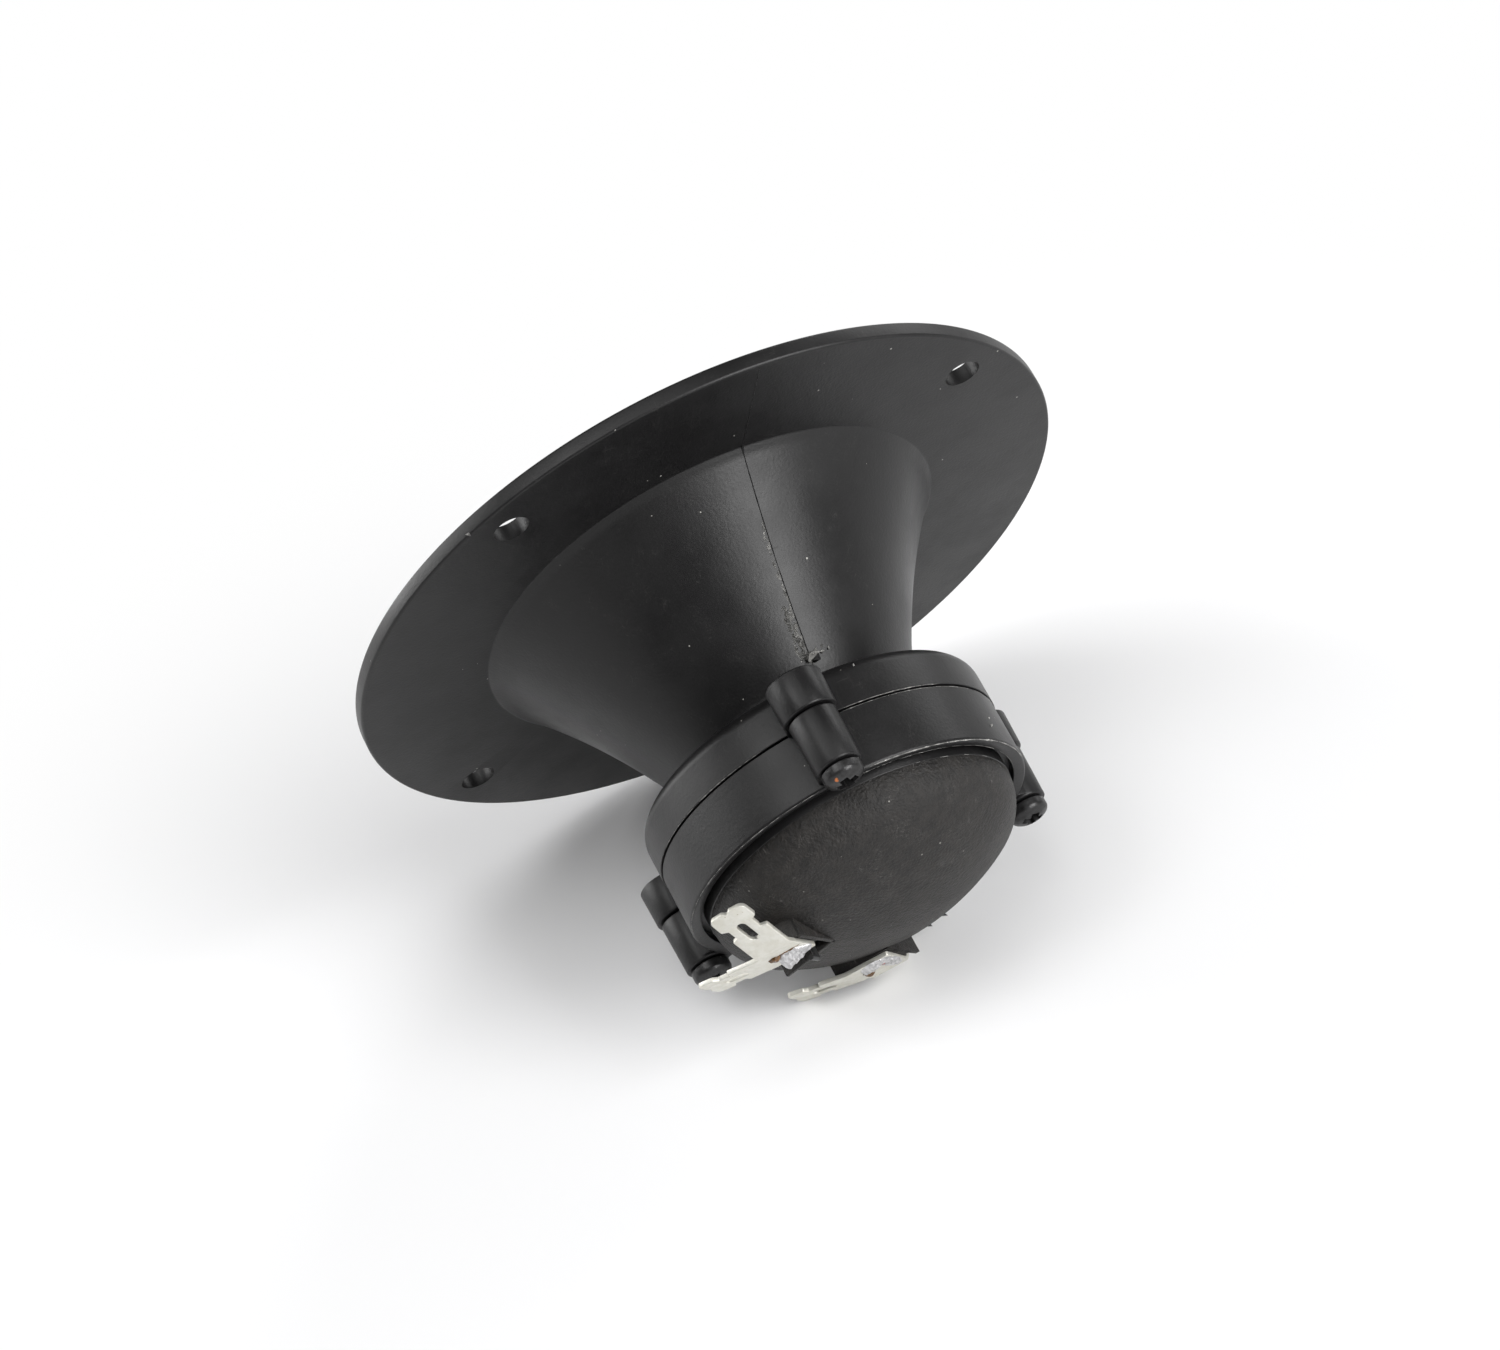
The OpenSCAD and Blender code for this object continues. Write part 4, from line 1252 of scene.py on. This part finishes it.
print("scraps:", len(scraps) + len(dark_scraps))

# %% [markdown]
# ## Inner pieces
# The drive unit is shut in, but it is dressed all the same: paper, cloth, brass, ceramic,
# silver film and wire each get their own finish on the CAD's own solids.

# %% Inner finishes
def fibre(name, color, rough, scale, depth):
    """Felted or pressed fibre."""
    material = shader(name, color, rough, specular=0.2)
    stain(material, 0.5, shade(color, 1.6), 0.6)
    tint(material, effect(material, SCRATCHES, Scale=1.6, Share=0.3), shade(color, 3), 0.5)
    grain(material, scale, depth)
    return material


def sheet_metal(name, color, rough):
    """Rolled or fired metal with faint lines and stains."""
    material = shader(name, color, rough, metallic=1.0)
    stain(material, 0.4, shade(color, 0.7), 0.5)
    tint(material, effect(material, SCRATCHES, Scale=1.2, Share=0.4), shade(color, 1.2), 0.5)
    roughen(material, effect(material, BLOTCHES, Scale=0.8), 0.15)
    grain(material, 2.0, 0.01)
    return material


def coated(name, color, rough):
    """Smooth coloured coat, such as wire insulation, glue or glaze."""
    material = shader(name, color, rough)
    stain(material, 0.7, shade(color, 0.75), 0.6)
    dust(material, 1.0, 0.1, 0.2, (0.4, 0.38, 0.34), 0.5)
    grain(material, 1.5, 0.02)
    return material


print("kinds of inner finish:", [f.__name__ for f in (fibre, sheet_metal, coated)])

# %% Inner pieces
finishes = {
    "phase_plug": SATIN,
    "gasket": fibre("gasket fibre", (0.16, 0.14, 0.11), 0.85, 3.0, 0.08),
    "cone_edge": fibre("doped edge cloth", (0.03, 0.028, 0.026), 0.6, 4.0, 0.06),
    "diaphragm_cone": fibre("cone paper", (0.06, 0.05, 0.042), 0.8, 2.2, 0.08),
    "glue_bead": coated("glue", (0.5, 0.38, 0.17), 0.25),
    "bender_plate": sheet_metal("brass sheet", (0.72, 0.52, 0.24), 0.32),
    "ceramic_front": coated("ceramic", (0.55, 0.51, 0.42), 0.6),
    "electrode_front": sheet_metal("silver film", (0.78, 0.78, 0.75), 0.4),
    "inner_solder_plate": SOLDER,
    "inner_solder_disc": SOLDER,
    "lead_plate": coated("red insulation", (0.4, 0.025, 0.02), 0.35),
    "lead_disc": coated("black insulation", (0.02, 0.02, 0.02), 0.35),
}
for kind in ("ceramic", "electrode"):
    finishes[kind + "_rear"] = finishes[kind + "_front"]
for name, material in finishes.items():
    node = nodes[name]
    node.data.materials.clear()
    node.data.materials.append(material)
print("inner finishes:", len(finishes))

# %% [markdown]
# ## Damping pad
# Open-cell foam between the element and the cover. It is remade in the CAD solid's own box
# with rounded edges and a waist pressed in a little, and the CAD solid is hidden.

# %% Damping pad
FOAM_ROUND, FOAM_WAIST = 0.5, 0.12
foam = shader("damping foam", (0.045, 0.045, 0.05), 0.95, specular=0.1)
# The pores are painted darker: painted shade inside the open cells, while the bump sinks
# them.
pores = effect(foam, SPECKS, Scale=1.6, Size=0.5, Share=0.9)
tint(foam, pores, (0.008, 0.008, 0.009), 0.9)
bump(foam, inverse(pores), 0.3)
lo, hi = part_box("damping_pad")
pad_r = (hi[0] - lo[0]) / 2 / MM
z0, z1 = lo[2] / MM, hi[2] / MM
corner_r = pad_r - FOAM_ROUND
foam_profile = [(0, z0)] + arc(corner_r, z0 + FOAM_ROUND, FOAM_ROUND, -90, 0, 5)
foam_profile += [(pad_r - FOAM_WAIST, (z0 + z1) / 2)]
foam_profile += arc(corner_r, z1 - FOAM_ROUND, FOAM_ROUND, 0, 90, 5) + [(0, z1)]
foam_pad = revolve("foam_pad", foam_profile, 96, closed=False)
crease(foam_pad, 50)
piece(foam_pad, foam, stands_for=["damping_pad"])
print("foam pad radius:", round(pad_r, 2), "mm")

# %% [markdown]
# ## Floor and light
# A pale sweep under soft studio light. The floor takes the shadow near the tweeter and goes
# to plain white further off, and from below it is see-through, so other views stay clear.

# %% Floor
FLOOR_HALF, WHITE_FROM, WHITE_TO = 1.5, 0.06, 0.16
side_x = UP.cross(FORWARD).normalized()
side_y = UP.cross(side_x)
centre = Vector((0, 0, 20)) * MM
centre -= UP * (centre - FLOOR_POINT).dot(UP)
bm = bmesh.new()
for a, b in ((-1, -1), (1, -1), (1, 1), (-1, 1)):
    bm.verts.new(centre + side_x * a * FLOOR_HALF + side_y * b * FLOOR_HALF)
bm.faces.new(bm.verts)
bm.faces.ensure_lookup_table()
bm.normal_update()
if bm.faces[0].normal.dot(UP) < 0:
    bmesh.ops.reverse_faces(bm, faces=bm.faces)
floor = mesh_object("floor", bm)
print("floor size:", round(2 * FLOOR_HALF, 1), "m")

# %% Floor finish
floor_mat = shader("studio floor", (0.82, 0.82, 0.825), 0.75, specular=0.2)
tree = floor_mat.node_tree
white = add(tree, "ShaderNodeEmission")
white.inputs["Color"].default_value = (1, 1, 1, 1)
clear = add(tree, "ShaderNodeBsdfTransparent")
coords = add(tree, "ShaderNodeTexCoord")
away = add(tree, "ShaderNodeVectorMath", operation="DISTANCE")
away.inputs[1].default_value = centre
feed(coords.outputs["Object"], away.inputs[0])
far = smooth_step(away.outputs["Value"], WHITE_FROM, WHITE_TO)
rays = add(tree, "ShaderNodeLightPath").outputs
seen = maths("MAXIMUM", rays["Is Camera Ray"], rays["Is Glossy Ray"])
above, both = add(tree, "ShaderNodeMixShader"), add(tree, "ShaderNodeMixShader")
below = add(tree, "ShaderNodeNewGeometry").outputs["Backfacing"]
pale = tree.nodes["Principled BSDF"]
sources = times(far, seen), pale.outputs[0], white.outputs[0]
for socket, source in zip(above.inputs, sources):
    feed(source, socket)
for socket, source in zip(both.inputs, (below, above.outputs[0], clear.outputs[0])):
    feed(source, socket)
feed(both.outputs[0], tree.nodes["Material Output"].inputs["Surface"])
floor.data.materials.append(floor_mat)
print("floor nodes:", len(tree.nodes))

# %% Light
LIGHT_DISTANCE = 1.0
AIM = Vector((0, 0, 22)) * MM
LEVEL = (FORWARD - UP * FORWARD.dot(UP)).normalized()
SIDE = LEVEL.cross(UP)


def area(name, azimuth, elevation, width, height, power):
    """A soft box that faces the tweeter.

    Azimuth 0 is towards the camera and 90 to its right, and elevation is over the floor."""
    a, e = radians(azimuth), radians(elevation)
    direction = (SIDE * sin(a) - LEVEL * cos(a)) * cos(e) + UP * sin(e)
    direction.normalize()
    data = bpy.data.lights.new(name, "AREA")
    data.shape = "RECTANGLE"
    data.size = width
    data.size_y = height
    data.energy = power
    light = linked(name, data)
    light.location = AIM + direction * LIGHT_DISTANCE
    light.rotation_euler = direction.to_track_quat("Z", "Y").to_euler()


area("key", 45, 26, 0.45, 0.9, 14)
area("left back", 245, 13, 0.9, 0.45, 8.8)
area("right back", 135, 26, 0.45, 0.9, 4.3)
area("left front", 298, 57, 0.35, 0.35, 1.5)
area("top", 330, 70, 0.8, 0.8, 3.6)
print("lights:", len(bpy.data.lights))

# %% [markdown]
# ## Backdrop
# The camera sees plain white behind the tweeter, but the world lights the plastic only
# faintly, so that its blacks stay deep.

# %% Backdrop
BACKDROP, AMBIENT = 1.0, 0.05
world = bpy.data.worlds.new("studio")
bpy.context.scene.world = world
world.use_nodes = True
tree = world.node_tree
sky = tree.nodes["Background"]
sky.inputs["Color"].default_value = (1, 1, 1, 1)
rays = add(tree, "ShaderNodeLightPath").outputs
shown = times(rays["Is Camera Ray"], BACKDROP - AMBIENT)
feed(plus(shown, AMBIENT), sky.inputs["Strength"])
bpy.context.scene.view_settings.view_transform = "Standard"
print("world:", world.name)
